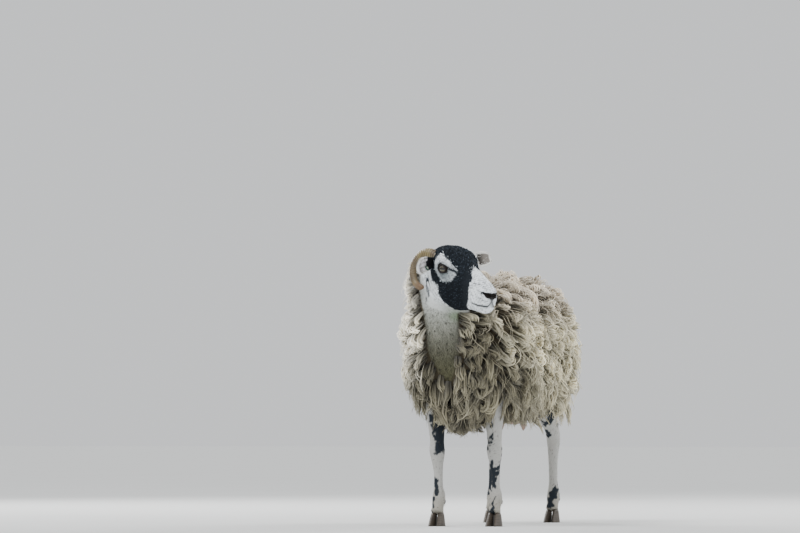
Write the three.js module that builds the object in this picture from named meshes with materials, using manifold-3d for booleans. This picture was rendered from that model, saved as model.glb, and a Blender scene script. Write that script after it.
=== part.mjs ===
// A horned hill ewe in full fleece, life size, standing still with her head turned to her left.
// Millimetres, +Z up. She faces -Y, so her left side is +X. The origin is on the floor, below
// the middle of her bounding box. Every position below is first given on her own midline frame:
// x to her left, y towards her tail, z up from the floor.
import * as THREE from "three";
import { mergeVertices } from "three/addons/utils/BufferGeometryUtils.js";
import Module from "manifold-3d";

const wasm = await Module();
wasm.setup();

// ---- Driving sizes -------------------------------------------------------------------------
const GAP = 0.35; // clearance between nodes that touch
const CORE_DEPTH = 29; // dense wool over the skin, under half of the fleece
const FLEECE_DEPTH = 64; // skin to lock tips

// Trunk: half length, and how square it is lengthwise and across.
const TRUNK_REACH = 354;
const TRUNK_END_SQUARENESS = 3.2;
const TRUNK_SQUARENESS = 2.25;
// y, half width, back height, belly height of the skin, before the ends round off.
const TRUNK = [
  [-430, 108, 636, 380],
  [-300, 124, 660, 356],
  [-160, 136, 674, 352],
  [0, 148, 669, 350],
  [150, 146, 676, 356],
  [280, 122, 678, 392],
  [430, 96, 658, 440],
];
// Neck, in level slices: height, middle x, middle y, half width, half depth of the skin.
// It leans a little to her right on its way up to the turned head.
const NECK = [
  [356, 0, -268, 76, 66],
  [392, -1, -284, 96, 86],
  [440, -6, -300, 92, 98],
  [510, -16, -324, 82, 102],
  [570, -24, -346, 72, 90],
  [630, -33, -366, 64, 76],
  [680, -41, -379, 58, 64],
  [712, -45, -385, 50, 54],
  [738, -45, -389, 39, 42],
  [756, -44, -391, 26, 28],
];
// Shoulder and thigh muscles: centre and radii on the left side.
const MUSCLES = [
  { centre: [80, -222, 500], radii: [62, 92, 138] },
  { centre: [70, 222, 470], radii: [66, 108, 142] },
];
const BLEND = 38; // how softly trunk, neck and muscles run together
const NECK_END = 50; // how far the neck rounds off past its first and last slice

// Foreleg and hind leg on the left side: x, y, z, half width, half depth down to the coronet.
const FORELEG = [
  [88, -254, 402, 32, 48],
  [88, -262, 345, 29, 39],
  [87, -265, 290, 24, 29],
  [87, -265, 243, 20, 22.5],
  [87, -266, 217, 22, 25],
  [87, -263, 192, 18.5, 21],
  [87, -259, 155, 13.5, 15.5],
  [87, -258, 115, 13.2, 15],
  [87, -257, 90, 17, 19.5],
  [87, -259, 75, 18.5, 21],
  [87, -266, 56, 16.5, 18],
  [87, -273, 38, 18.5, 20],
];
const HIND_LEG = [
  [86, 232, 452, 40, 76],
  [92, 216, 395, 38, 64],
  [92, 222, 350, 32, 49],
  [91, 248, 312, 25, 34],
  [90, 280, 284, 20.5, 25],
  [89, 299, 262, 20, 27],
  [89, 302, 240, 19.5, 23.5],
  [89, 297, 212, 16, 18],
  [89, 293, 158, 14, 15.5],
  [89, 292, 116, 14, 15.5],
  [89, 292, 90, 17.5, 20],
  [89, 290, 75, 19, 21.5],
  [89, 283, 56, 17, 18.5],
  [89, 276, 38, 18.5, 20],
];
const LEG_SIDES = 9;
// How far each foot stands from its place below the body: to her left, and back.
const STEP = {
  foreleg_left: [0, 8],
  foreleg_right: [9, -10],
  hindleg_left: [0, 20],
  hindleg_right: [4, -22],
};

// Each foot has two claws on a flat sole.
const CLAW = { height: 40, halfWidth: 11, toe: 34, heel: 24, spread: 11.9, lean: 0.62 };
const DEWCLAW = { radii: [5, 6, 8], spread: 10.5, behind: 19, height: 70 };
const HOCK = { centre: [89, 318, 278], radii: [10, 12, 24] };

// Head: its own frame has X to the muzzle, Y to its left, Z to the crown.
const HEAD_ORIGIN = [-64, -380, 628];
const HEAD_TURN = 60; // degrees from straight ahead, to her left
const HEAD_DROP = 9; // degrees that the muzzle points down
// X, crown height, jaw height, half width above the middle, half width below it.
const HEAD = [
  [4, 142, 62, 36, 28],
  [14, 159, 42, 50, 40],
  [34, 173, 20, 57, 48],
  [62, 177, 8, 61, 51],
  [96, 169, 3, 60, 50],
  [126, 152, 4, 51, 45],
  [156, 132, 10, 41, 38],
  [186, 114, 14, 35, 33],
  [214, 98, 15, 33, 31],
  [238, 84, 14, 32, 29],
  [252, 71, 17, 27, 24],
  [260, 58, 27, 16, 15],
];
const HEAD_POLES = [[-4, 104], [264, 46]];
const HEAD_SQUARENESS = 2.25;
// Places where the head stands out sideways: X, Z, how far, how wide along X and Z.
const SWELLINGS = [
  [98, 122, 7.5, 21, 21], // brow
  [78, 58, 4, 26, 26], // cheek
  [241, 66, 2.5, 11, 8], // wing of the nostril
  [232, 47, 2.5, 17, 8], // upper lip
  [234, 22, 2.5, 13, 7], // lower lip and chin
];
const EYE = { x: 100, y: 52.5, z: 115.5, radius: 14.5 };
const LID = { length: 15.5, height: 10.5, thickness: 3, tilt: 0.22 };
const NOSTRIL = { back: [236, 30, 69], front: [258, 11, 58.5], height: 3.6, depth: 6 };
const MOUTH = { corner: 203, height: 33, rise: 8, sag: 4.5, opening: 1.5, depth: 5 };

// Ear: a cupped leaf on a short stem.
const EAR = { x: 36, y: 50, z: 123, length: 116, halfWidth: 23, wall: 3.2 };
// Degrees that each ear points above level and forward of straight out, and how far its tip drops.
const EAR_SET = {
  left: { raise: 12, forward: 8, droop: 7 },
  right: { raise: 4, forward: 29, droop: 22 },
};

// Tag on the right ear: how far to the tip, where from edge to edge, and its sizes.
const TAG = { share: 0.46, across: 0.62, radius: 8.5, thickness: 3.2, sunk: 1, stud: 3.6 };

// Horn: one open turn round the ear, with growth rings.
const HORN = { x: 20, z: 101, radius: 47.5, start: 50, end: 297, base: 15.4, tip: 8.6 };
const HORN_OUT = [30, 66]; // sideways, from root to tip
const HORN_RINGS = 15;

// Tail: hangs to just above the hocks. Centre line in y, z and its radius.
const TAIL = [
  [318, 610, 26],
  [366, 590, 27],
  [404, 542, 26],
  [418, 480, 23],
  [418, 410, 19],
  [412, 352, 11],
];
const UDDER = { y: 196, z: 352, radii: [62, 72, 62], teat: [9, 26], spread: 34 };

// Locks of the fleece.
const LOCK = { count: 114, tries: 3000, length: 120, width: 68, thickness: 33, sink: 15, sides: 5 };
// Share of the length, share of the width, share of the thickness.
const LOCK_RINGS = [
  [0, 0.62, 0.8],
  [0.42, 1.0, 1.0],
  [0.86, 0.68, 0.7],
];
const TAIL_LOCKS = { rows: 3, around: 3, length: 112, width: 50, thickness: 24, proud: 15 };
// Bare throat: height, the way it faces in degrees to her left of ahead, and its half angle.
const THROAT = [
  [392, -8, -6],
  [444, -8, 18],
  [500, -8, 32],
  [560, -3, 37],
  [620, 5, 46],
  [660, 30, 72],
  [700, 60, 112],
  [756, 60, 125],
];
const THROAT_LOCKS = [470, 525, 580, 635, 690]; // heights of the locks down its two edges
const SPINE_LOCKS = [-235, -150, -65, 20, 105, 190, 270]; // places along the back
const NECK_WOOL_TOP = 735;
const HEM = 262; // the locks end above this height

// The neck parts from the torso on this plane.
const NECK_PLANE = { point: [0, -296, 575], normal: [0, -0.83, 0.558] };

// ---- Small helpers --------------------------------------------------------------------------
const vec = (x, y, z) => new THREE.Vector3(x, y, z);
const clamp = THREE.MathUtils.clamp;
const smoothstep = THREE.MathUtils.smoothstep;
const radians = THREE.MathUtils.degToRad;

// A repeatable random number from 0 to 1.
function seeded(seed) {
  let state = seed;
  return () => {
    state = (state + 0x6d2b79f5) | 0;
    let t = Math.imul(state ^ (state >>> 15), 1 | state);
    t = (t + Math.imul(t ^ (t >>> 7), 61 | t)) ^ t;
    return ((t ^ (t >>> 14)) >>> 0) / 4294967296;
  };
}

// The values beside a position in rows of [position, value, ...], joined by a smooth cubic.
function between(rows, position) {
  const last = rows.length - 1;
  const at = clamp(position, rows[0][0], rows[last][0]);
  let i = 0;
  while (i < last - 1 && at > rows[i + 1][0]) i++;
  const [a, b] = [rows[i], rows[i + 1]];
  const before = rows[Math.max(i - 1, 0)];
  const after = rows[Math.min(i + 2, last)];
  const span = b[0] - a[0];
  const t = (at - a[0]) / span;
  return a.slice(1).map((start, k) => {
    const end = b[k + 1];
    const slopeIn = ((end - before[k + 1]) / (b[0] - before[0])) * span;
    const slopeOut = ((after[k + 1] - start) / (after[0] - a[0])) * span;
    const [t2, t3] = [t * t, t * t * t];
    return (
      (2 * t3 - 3 * t2 + 1) * start +
      (t3 - 2 * t2 + t) * slopeIn +
      (3 * t2 - 2 * t3) * end +
      (t3 - t2) * slopeOut
    );
  });
}

// A closed surface from rings of points that all run round the same way, and a point at each end.
function ringGeometry(rings, first, last) {
  const around = rings[0].length;
  const points = [first, ...rings.flat(), last];
  const at = (ring, k) => 1 + ring * around + (k % around);
  let faces = [];
  for (let k = 0; k < around; k++) {
    faces.push([0, at(0, k + 1), at(0, k)]);
    faces.push([points.length - 1, at(rings.length - 1, k), at(rings.length - 1, k + 1)]);
    for (let ring = 0; ring + 1 < rings.length; ring++) {
      faces.push([at(ring, k), at(ring, k + 1), at(ring + 1, k + 1)]);
      faces.push([at(ring, k), at(ring + 1, k + 1), at(ring + 1, k)]);
    }
  }
  const volume = faces.reduce(
    (sum, [a, b, c]) => sum + points[a].dot(vec(0, 0, 0).crossVectors(points[b], points[c])),
    0,
  );
  if (volume < 0) faces = faces.map(([a, b, c]) => [a, c, b]);
  return new THREE.BufferGeometry().setFromPoints(points).setIndex(faces.flat());
}

// A geometry as a solid for cutting and joining.
function solid(geometry) {
  const bare = geometry.clone();
  bare.deleteAttribute("normal");
  bare.deleteAttribute("uv");
  const merged = mergeVertices(bare, 1e-4);
  return new wasm.Manifold(
    new wasm.Mesh({
      numProp: 3,
      vertProperties: merged.attributes.position.array,
      triVerts: new Uint32Array(merged.index.array),
    }),
  );
}

const join = (...solids) => wasm.Manifold.union(solids);

// A geometry with its surface moved out by a distance, to cut room for it with.
function swollen(geometry, distance = GAP) {
  const bare = geometry.clone();
  bare.deleteAttribute("normal");
  bare.deleteAttribute("uv");
  const wide = mergeVertices(bare, 1e-4);
  wide.computeVertexNormals();
  const { position, normal } = wide.attributes;
  for (let i = 0; i < position.count; i++) {
    const at = vec(0, 0, 0).fromBufferAttribute(position, i);
    at.addScaledVector(vec(0, 0, 0).fromBufferAttribute(normal, i), distance);
    position.setXYZ(i, at.x, at.y, at.z);
  }
  wide.deleteAttribute("normal");
  return wide;
}

const joined = (geometries) => join(...geometries.map(solid));
const roomFor = (geometries) => join(...geometries.map((one) => solid(swollen(one))));

// The largest closed surface of a solid: no loose scrap and no sealed hollow.
function whole(made) {
  return made.decompose().reduce((best, one) => (one.volume() > best.volume() ? one : best));
}

// An ellipsoid from a sphere, at a centre.
function ellipsoid(centre, radii, across = 14, high = 10) {
  return new THREE.SphereGeometry(1, across, high).scale(...radii).translate(...centre);
}

// A ring of points round a centre, from two half axes.
function ovalRing(centre, side, up, sides) {
  return Array.from({ length: sides }, (_, k) => {
    const angle = (2 * Math.PI * k) / sides;
    return centre
      .clone()
      .addScaledVector(side, Math.cos(angle))
      .addScaledVector(up, Math.sin(angle));
  });
}

// The direction of a path of points at one of them.
function heading(path, i) {
  const from = path[Math.max(i - 1, 0)];
  return path[Math.min(i + 1, path.length - 1)].clone().sub(from).normalize();
}

// ---- The skin as a distance, for the fleece to grow on ---------------------------------------
const power = (value, exponent) => Math.pow(Math.abs(value), exponent);
const signedPower = (value, exponent) => Math.sign(value) * power(value, exponent);

function trunkSize(y) {
  const [half, back, belly] = between(TRUNK, y);
  return { half, middle: (back + belly) / 2, tall: (back - belly) / 2 };
}

function trunkDistance(p) {
  const { half, middle, tall } = trunkSize(p.y);
  const across = power(
    power(p.x / half, TRUNK_SQUARENESS) + power((p.z - middle) / tall, TRUNK_SQUARENESS),
    TRUNK_END_SQUARENESS / TRUNK_SQUARENESS,
  );
  const f = power(across + power(p.y / TRUNK_REACH, TRUNK_END_SQUARENESS), 1 / TRUNK_END_SQUARENESS);
  return (f - 1) * 150;
}

function neckDistance(p) {
  const [x, y, half, deep] = between(NECK, p.z);
  const past = Math.max(NECK[0][0] - p.z, p.z - NECK[NECK.length - 1][0], 0);
  return (Math.hypot((p.x - x) / half, (p.y - y) / deep, past / NECK_END) - 1) * 80;
}

function muscleDistance(p, { centre, radii }) {
  const x = (Math.abs(p.x) - centre[0]) / radii[0];
  return (Math.hypot(x, (p.y - centre[1]) / radii[1], (p.z - centre[2]) / radii[2]) - 1) * 75;
}

function softMin(a, b) {
  const share = clamp(0.5 + (0.5 * (b - a)) / BLEND, 0, 1);
  return b + (a - b) * share - BLEND * share * (1 - share);
}

// A figure that is 0 on the skin and grows outwards, roughly in millimetres.
function skinField(p) {
  const parts = [neckDistance(p), ...MUSCLES.map((muscle) => muscleDistance(p, muscle))];
  return parts.reduce(softMin, trunkDistance(p));
}

// The height of a point over the skin, and the direction straight away from it.
function overSkin(p) {
  const step = 1;
  const slope = vec(0, 0, 0);
  for (const axis of ["x", "y", "z"]) {
    const ahead = p.clone();
    const behind = p.clone();
    ahead[axis] += step;
    behind[axis] -= step;
    slope[axis] = (skinField(ahead) - skinField(behind)) / (2 * step);
  }
  const steep = slope.length();
  return { height: skinField(p) / steep, out: slope.divideScalar(steep) };
}

// ---- Fleece ----------------------------------------------------------------------------------
// Which way the wool falls: down, a little to the tail, and off the spine to its own side.
function fall(p, out) {
  const side = signedPower(clamp(p.x / 110, -1, 1), 2) * 0.8 * clamp(out.z, 0, 1);
  const wish = vec(side, 0.34, -1);
  const lift = Math.min(wish.dot(out), 0);
  return wish.addScaledVector(out, -lift).normalize();
}

// The centre line of a lock: it leaves the skin, lies along the body and reaches the fleece depth.
function lockPath(root, size, shares) {
  const { out } = overSkin(root);
  const path = [root.clone().addScaledVector(out, -size.sink)];
  const outs = [out];
  for (let i = 1; i < shares.length; i++) {
    const from = path[i - 1];
    const here = overSkin(from);
    const along = fall(from, here.out);
    along.addScaledVector(vec(0, 0, 0).crossVectors(along, here.out), size.turn).normalize();
    const depth = size.proud - size.thickness / 2;
    const rise = CORE_DEPTH - size.sink + (depth + size.sink) * (1 - (1 - shares[i]) ** 2.4);
    const next = from.clone().addScaledVector(along, (shares[i] - shares[i - 1]) * size.length);
    const there = overSkin(next);
    const hanging = clamp(1 + 2.5 * there.out.z, 0, 1);
    const lift = rise - there.height;
    next.addScaledVector(there.out, lift < 0 ? lift * hanging : lift);
    path.push(next);
    outs.push(there.out);
  }
  return { path, outs };
}

// One flat, tapered lock with a rounded section, along a centre line.
function lockSolid({ path, outs }, size) {
  const rings = LOCK_RINGS.map(([, wide, thick], i) => {
    const ahead = heading(path, i);
    const side = vec(0, 0, 0).crossVectors(ahead, outs[i]).normalize();
    const up = vec(0, 0, 0).crossVectors(side, ahead);
    side.multiplyScalar((size.width * wide) / 2);
    up.multiplyScalar((size.thickness * thick) / 2);
    return ovalRing(path[i], side, up, LOCK.sides);
  });
  return solid(ringGeometry(rings, path[0], path[path.length - 1]));
}

// The nearest place on the core's surface.
function ontoCore(place) {
  for (let k = 0; k < 3; k++) {
    const { height, out } = overSkin(place);
    place.addScaledVector(out, CORE_DEPTH - height);
  }
  return place;
}

// A random place at the core's surface, over the trunk or the neck.
function placeOnCore(random) {
  const angle = 2 * Math.PI * random();
  const onNeck = random() < 0.3;
  const level = NECK[0][0] + (NECK_WOOL_TOP - NECK[0][0]) * random();
  const lengthwise = (2 * random() - 1) * (TRUNK_REACH + CORE_DEPTH);
  const [x, y] = between(NECK, level);
  const place = onNeck
    ? vec(x + 95 * Math.sin(angle), y - 100 * Math.cos(angle), level)
    : vec(150 * Math.sin(angle), lengthwise, trunkSize(lengthwise).middle + 170 * Math.cos(angle));
  return ontoCore(place);
}

// Places down both edges of the bare throat and along the spine.
function firstRoots() {
  const edges = THROAT_LOCKS.flatMap((level) => {
    const [x, y] = between(NECK, level);
    const [facing, half] = between(THROAT, level);
    return [-1, 1].map((hand) => {
      const angle = radians(facing + hand * (half + 10));
      return vec(x + 95 * Math.sin(angle), y - 110 * Math.cos(angle), level);
    });
  });
  const spine = SPINE_LOCKS.map((y, i) => vec(i % 2 ? 14 : -14, y, trunkSize(y).middle + 180));
  return [...edges, ...spine].map(ontoCore);
}

// How close the locks stand at a place: sparse where they are out of sight below the belly.
function crowding(p) {
  const beneath = smoothstep(-overSkin(p).out.z, 0.45, 0.8) * smoothstep(p.y, -270, -210);
  return 1 - 0.6 * beneath;
}

// Roots spread evenly from the first ones: each next one is the place furthest from all the
// roots before it.
function fleeceRoots(random) {
  const places = Array.from({ length: LOCK.tries }, () => placeOnCore(random)).filter(bearsWool);
  const crowd = places.map(crowding);
  const roots = firstRoots();
  const room = places.map((place, i) =>
    Math.min(...roots.map((root) => place.distanceTo(root) * crowd[i])),
  );
  while (roots.length < LOCK.count) {
    const root = places[room.indexOf(Math.max(...room))];
    places.forEach((place, i) => {
      room[i] = Math.min(room[i], place.distanceTo(root) * crowd[i]);
    });
    roots.push(root);
  }
  return roots;
}

// How far round the neck a place is past the edge of the bare throat, in degrees.
function pastThroat(p) {
  const [x, y] = between(NECK, p.z);
  const [facing, half] = between(THROAT, p.z);
  const round = THREE.MathUtils.radToDeg(Math.atan2(p.x - x, y - p.y)) - facing;
  return Math.abs(THREE.MathUtils.euclideanModulo(round + 180, 360) - 180) - half;
}

// Wool grows everywhere but on the throat, round the legs, on the udder and under the tail.
function bearsWool(p) {
  const throat = p.y < -250 && p.z > THROAT[0][0] && pastThroat(p) < 4;
  const nearLeg = [FORELEG, HIND_LEG].some(
    ([, [legX, legY]]) => p.z < 378 && Math.hypot(Math.abs(p.x) - legX, p.y - legY) < 50,
  );
  const nearUdder = p.z < 355 && Math.hypot(p.x, p.y - UDDER.y) < 92;
  const nearTail = p.y > 330 && Math.abs(p.x) < 30 && p.z < 630;
  return p.z < NECK_WOOL_TOP && !(throat || nearLeg || nearUdder || nearTail);
}

function locks(roots, random) {
  return roots.map((root) => {
    const vary = (spread) => 1 + spread * (2 * random() - 1);
    const size = {
      length: Math.min(LOCK.length * vary(0.14), root.z - HEM),
      width: LOCK.width * vary(0.14),
      thickness: LOCK.thickness * vary(0.15),
      proud: (FLEECE_DEPTH - CORE_DEPTH) * vary(0.22),
      sink: LOCK.sink,
      turn: 0.34 * (2 * random() - 1),
    };
    const shares = [...LOCK_RINGS.map(([share]) => share), 1];
    return lockSolid(lockPath(root, size, shares), size);
  });
}

// ---- Torso and neck cores ---------------------------------------------------------------------
function trunkGeometry(grow, sides = 18, rings = 12) {
  const reach = TRUNK_REACH + grow;
  const loops = [];
  for (let i = 1; i < rings; i++) {
    const share = -Math.cos((Math.PI * i) / rings);
    const y = reach * share;
    const { half, middle, tall } = trunkSize(y);
    const round = power(1 - power(share, TRUNK_END_SQUARENESS), 1 / TRUNK_END_SQUARENESS);
    loops.push(
      Array.from({ length: sides }, (_, k) => {
        const angle = (2 * Math.PI * k) / sides;
        const x = (half + grow) * signedPower(Math.cos(angle), 2 / TRUNK_SQUARENESS);
        const z = (tall + grow) * signedPower(Math.sin(angle), 2 / TRUNK_SQUARENESS);
        return vec(x * round, y, middle + z * round);
      }),
    );
  }
  const end = (y) => vec(0, y, trunkSize(y).middle);
  return ringGeometry(loops, end(-reach), end(reach));
}

function neckGeometry(grow, sides = 16, rings = 9) {
  const [low, high] = [NECK[0][0], NECK[NECK.length - 1][0]];
  const loops = [];
  for (let i = 0; i <= rings; i++) {
    const z = low + ((high - low) * i) / rings;
    const [x, y, half, deep] = between(NECK, z);
    const thin = 1 - 0.75 * smoothstep(z, 650, 730);
    loops.push(
      Array.from({ length: sides }, (_, k) => {
        const angle = (2 * Math.PI * k) / sides;
        const bare = vec(x + Math.sin(angle), y - Math.cos(angle), z);
        const wool = smoothstep(pastThroat(bare), 0, 22);
        const over = grow * (0.12 + 0.88 * wool) * thin;
        return vec(x + (half + over) * Math.sin(angle), y - (deep + over) * Math.cos(angle), z);
      }),
    );
  }
  const end = (z, past) => vec(...between(NECK, z).slice(0, 2), z + past);
  return ringGeometry(loops, end(low, -0.8 * grow), end(high, 4));
}

function muscleGeometries(grow) {
  return MUSCLES.flatMap(({ centre: [x, y, z], radii }) =>
    [x, -x].map((side) => ellipsoid([side, y, z], radii.map((r) => r + grow), 10, 7)),
  );
}

// ---- Legs and feet ----------------------------------------------------------------------------
function legPlacement(name) {
  return {
    rows: name.startsWith("fore") ? FORELEG : HIND_LEG,
    side: name.endsWith("left") ? 1 : -1,
    step: STEP[name],
  };
}

// How far a leg's step has moved it at a height: all at the foot and nothing in the body.
function stepAt([left, back], z) {
  const share = 1 - smoothstep(z, 90, 400);
  return vec(left * share, back * share, 0);
}

function legGeometry(name) {
  const { rows, side, step } = legPlacement(name);
  const path = rows.map(([x, y, z]) => vec(side * x, y, z).add(stepAt(step, z)));
  const rings = rows.map(([, , , half, deep], i) => {
    const ahead = heading(path, i);
    const back = vec(0, 0, 0).crossVectors(ahead, vec(1, 0, 0)).normalize();
    return ovalRing(path[i], vec(half, 0, 0), back.multiplyScalar(deep), LEG_SIDES);
  });
  const top = path[0].clone().add(vec(0, 0, 4));
  const foot = path[path.length - 1].clone().add(vec(0, 0, -4));
  return ringGeometry(rings, top, foot);
}

// One claw: level slices of a rounded wedge, flat on the floor, with the front wall leaning back.
function clawGeometry(name, hand) {
  const { rows, side, step } = legPlacement(name);
  const [x, y] = rows[rows.length - 1];
  const centre = vec(side * x + hand * CLAW.spread, y, 0).add(stepAt(step, 0));
  const levels = [0, 0.35, 0.75, 1];
  const rings = levels.map((level) => {
    const toe = CLAW.toe - CLAW.height * level * CLAW.lean;
    const heel = CLAW.heel - 6 * level;
    const half = CLAW.halfWidth * (1 - 0.14 * level);
    const middle = centre.clone().add(vec(0, (heel - toe) / 2, CLAW.height * level));
    return ovalRing(middle, vec(half, 0, 0), vec(0, (heel + toe) / 2, 0), 8);
  });
  const centreOf = (ring) => ring[0].clone().add(ring[4]).multiplyScalar(0.5);
  return ringGeometry(rings, centreOf(rings[0]), centreOf(rings[3]));
}

// A leg down to its coronet, with its dewclaws and the point of its hock.
function legGeometries(name) {
  const { rows, side, step } = legPlacement(name);
  const [x, y] = rows[rows.length - 3];
  const dewclaws = [-1, 1].map((hand) => {
    const place = vec(side * x + hand * DEWCLAW.spread, y + DEWCLAW.behind, DEWCLAW.height);
    return ellipsoid(place.add(stepAt(step, 0)).toArray(), DEWCLAW.radii, 5, 4);
  });
  const pieces = [legGeometry(name), ...dewclaws];
  if (rows === HIND_LEG) {
    const place = vec(side * HOCK.centre[0], HOCK.centre[1], HOCK.centre[2]);
    pieces.push(ellipsoid(place.add(stepAt(step, place.z)).toArray(), HOCK.radii, 7, 5));
  }
  return pieces;
}

// ---- Head ---------------------------------------------------------------------------------------
const headFrame = new THREE.Matrix4()
  .makeTranslation(...HEAD_ORIGIN)
  .multiply(new THREE.Matrix4().makeRotationZ(radians(HEAD_TURN - 90)))
  .multiply(new THREE.Matrix4().makeRotationY(radians(HEAD_DROP)));

// How far the side of the head stands out past its plain section at a place.
function swelling(x, z) {
  return SWELLINGS.reduce((sum, [midX, midZ, push, reachX, reachZ]) => {
    const away = ((x - midX) / reachX) ** 2 + ((z - midZ) / reachZ) ** 2;
    return sum + push * Math.exp(-away / 2);
  }, 0);
}

function headPoint(x, angle) {
  const [crown, jaw, upper, lower] = between(HEAD, x);
  const middle = jaw + 0.52 * (crown - jaw);
  const [c, s] = [Math.cos(angle), Math.sin(angle)];
  const tall = s > 0 ? crown - middle : middle - jaw;
  const half = lower + (upper - lower) * smoothstep(s, -0.6, 0.5);
  const z = middle + tall * signedPower(s, 2 / HEAD_SQUARENESS);
  const y = half * signedPower(c, 2 / HEAD_SQUARENESS);
  return vec(x, y + Math.sign(y) * swelling(x, z) * smoothstep(Math.abs(y), 8, 26), z);
}

function headGeometry(sides = 22, rings = 22) {
  const first = HEAD[0][0];
  const last = HEAD[HEAD.length - 1][0];
  const loops = [];
  for (let i = 0; i <= rings; i++) {
    const share = i / rings;
    const x = first + (last - first) * (share + 0.045 * Math.sin(2 * Math.PI * share) * -1);
    loops.push(Array.from({ length: sides }, (_, k) => headPoint(x, (2 * Math.PI * k) / sides)));
  }
  const [[backX, backZ], [frontX, frontZ]] = HEAD_POLES;
  return ringGeometry(loops, vec(backX, 0, backZ), vec(frontX, 0, frontZ));
}

// How far the side of the head is from its midline at a length and height.
function sideOfHead(x, z) {
  const [crown, jaw, upper, lower] = between(HEAD, x);
  const middle = jaw + 0.52 * (crown - jaw);
  const tall = z > middle ? crown - middle : middle - jaw;
  const level = clamp(Math.abs(z - middle) / tall, 0, 0.98);
  const half = lower + (upper - lower) * smoothstep(Math.sign(z - middle) * level, -0.6, 0.5);
  const plain = half * Math.pow(1 - Math.pow(level, HEAD_SQUARENESS), 1 / HEAD_SQUARENESS);
  return plain + swelling(x, z);
}

// A lid: a rounded rim round the eye, on the eyeball or the cheek, whichever stands out more.
function lidGeometry(side) {
  const steps = 16;
  const middle = [];
  for (let i = 0; i < steps; i++) {
    const angle = (2 * Math.PI * i) / steps;
    const x = LID.length * Math.cos(angle);
    const z = LID.height * Math.sin(angle) - LID.tilt * x;
    const ball = EYE.y + Math.sqrt(Math.max(EYE.radius ** 2 - x * x - z * z, 0));
    const y = Math.max(ball, sideOfHead(EYE.x + x, EYE.z + z) - 0.5);
    middle.push(vec(EYE.x + x, side * y, EYE.z + z));
  }
  const loops = middle.map((p, i) => {
    const ahead = middle[(i + 1) % steps].clone().sub(middle[(i + steps - 1) % steps]).normalize();
    const away = p.clone().sub(vec(EYE.x, side * (EYE.y - 8), EYE.z)).normalize();
    const across = vec(0, 0, 0).crossVectors(ahead, away).normalize();
    const thick = LID.thickness * (i < steps / 2 ? 1.15 : 0.9);
    return ovalRing(p, across.multiplyScalar(thick), away.multiplyScalar(thick * 0.9), 5);
  });
  return closedLoopGeometry(loops);
}

// The opening between the lids, wider than high and tilted like them.
function eyeOpeningGeometry(side) {
  const { length, height, tilt } = LID;
  return ellipsoid([0, 0, 0], [length - 1.5, 9, height - 1.5], 14, 8)
    .rotateY(Math.atan(tilt))
    .translate(EYE.x, side * (EYE.y + 12), EYE.z);
}

// A closed ring-shaped body from sections that follow each other all the way round.
function closedLoopGeometry(loops) {
  const around = loops[0].length;
  const at = (i, k) => (i % loops.length) * around + (k % around);
  let faces = [];
  loops.forEach((_, i) => {
    for (let k = 0; k < around; k++) {
      faces.push([at(i, k), at(i, k + 1), at(i + 1, k + 1)]);
      faces.push([at(i, k), at(i + 1, k + 1), at(i + 1, k)]);
    }
  });
  const points = loops.flat();
  const volume = faces.reduce(
    (sum, [a, b, c]) => sum + points[a].dot(vec(0, 0, 0).crossVectors(points[b], points[c])),
    0,
  );
  if (volume < 0) faces = faces.map(([a, b, c]) => [a, c, b]);
  return new THREE.BufferGeometry().setFromPoints(points).setIndex(faces.flat());
}

// The line of the mouth: a thin wedge sunk in the lips from corner to corner.
function mouthGeometry() {
  const steps = 9;
  const front = HEAD[HEAD.length - 1][0];
  const side = [];
  for (let i = 0; i <= steps; i++) {
    const share = Math.sin((Math.PI / 2) * (i / steps));
    const x = MOUTH.corner + (front - MOUTH.corner) * share;
    const sag = MOUTH.sag * Math.sin(Math.PI * share ** 2.2);
    const z = MOUTH.height + MOUTH.rise * share ** 8 - sag;
    side.push(vec(x, sideOfHead(x, z), z));
  }
  const line = [
    ...side.map((p) => vec(p.x, -p.y, p.z)),
    vec(front + 3.5, 0, MOUTH.height + MOUTH.rise),
    ...side.slice().reverse(),
  ];
  const rings = line.map((p, i) => {
    const inward = vec(MOUTH.corner + 10 - p.x, -p.y, 0).normalize();
    const deep = MOUTH.depth * (i === 0 || i === line.length - 1 ? 0.4 : 1);
    const outer = p.clone().addScaledVector(inward, -3);
    return [
      outer.clone().add(vec(0, 0, MOUTH.opening)),
      p.clone().addScaledVector(inward, deep),
      outer.clone().add(vec(0, 0, -MOUTH.opening)),
    ];
  });
  const centre = ([a, b, c]) => a.clone().add(b).add(c).divideScalar(3);
  return ringGeometry(rings, centre(rings[0]), centre(rings[rings.length - 1]));
}

// A nostril: a slit that runs forward and down to the midline.
function nostrilGeometry(side) {
  const turned = ([x, y, z]) => vec(x, side * y, z);
  const [back, front] = [turned(NOSTRIL.back), turned(NOSTRIL.front)];
  const along = front.clone().sub(back);
  const up = vec(0, 0, 1);
  const inward = vec(0, 0, 0).crossVectors(along, up).normalize();
  up.crossVectors(inward, along).normalize();
  const turn = new THREE.Matrix4().makeBasis(along.clone().normalize(), up, inward);
  return ellipsoid([0, 0, 0], [along.length() / 2, NOSTRIL.height, NOSTRIL.depth], 10, 8)
    .applyMatrix4(turn)
    .translate(...back.add(front).divideScalar(2).toArray());
}

function eyeGeometry(side) {
  const { x, y, z, radius } = EYE;
  return ellipsoid([x, side * y, z], [radius, radius, radius], 11, 7);
}

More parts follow.
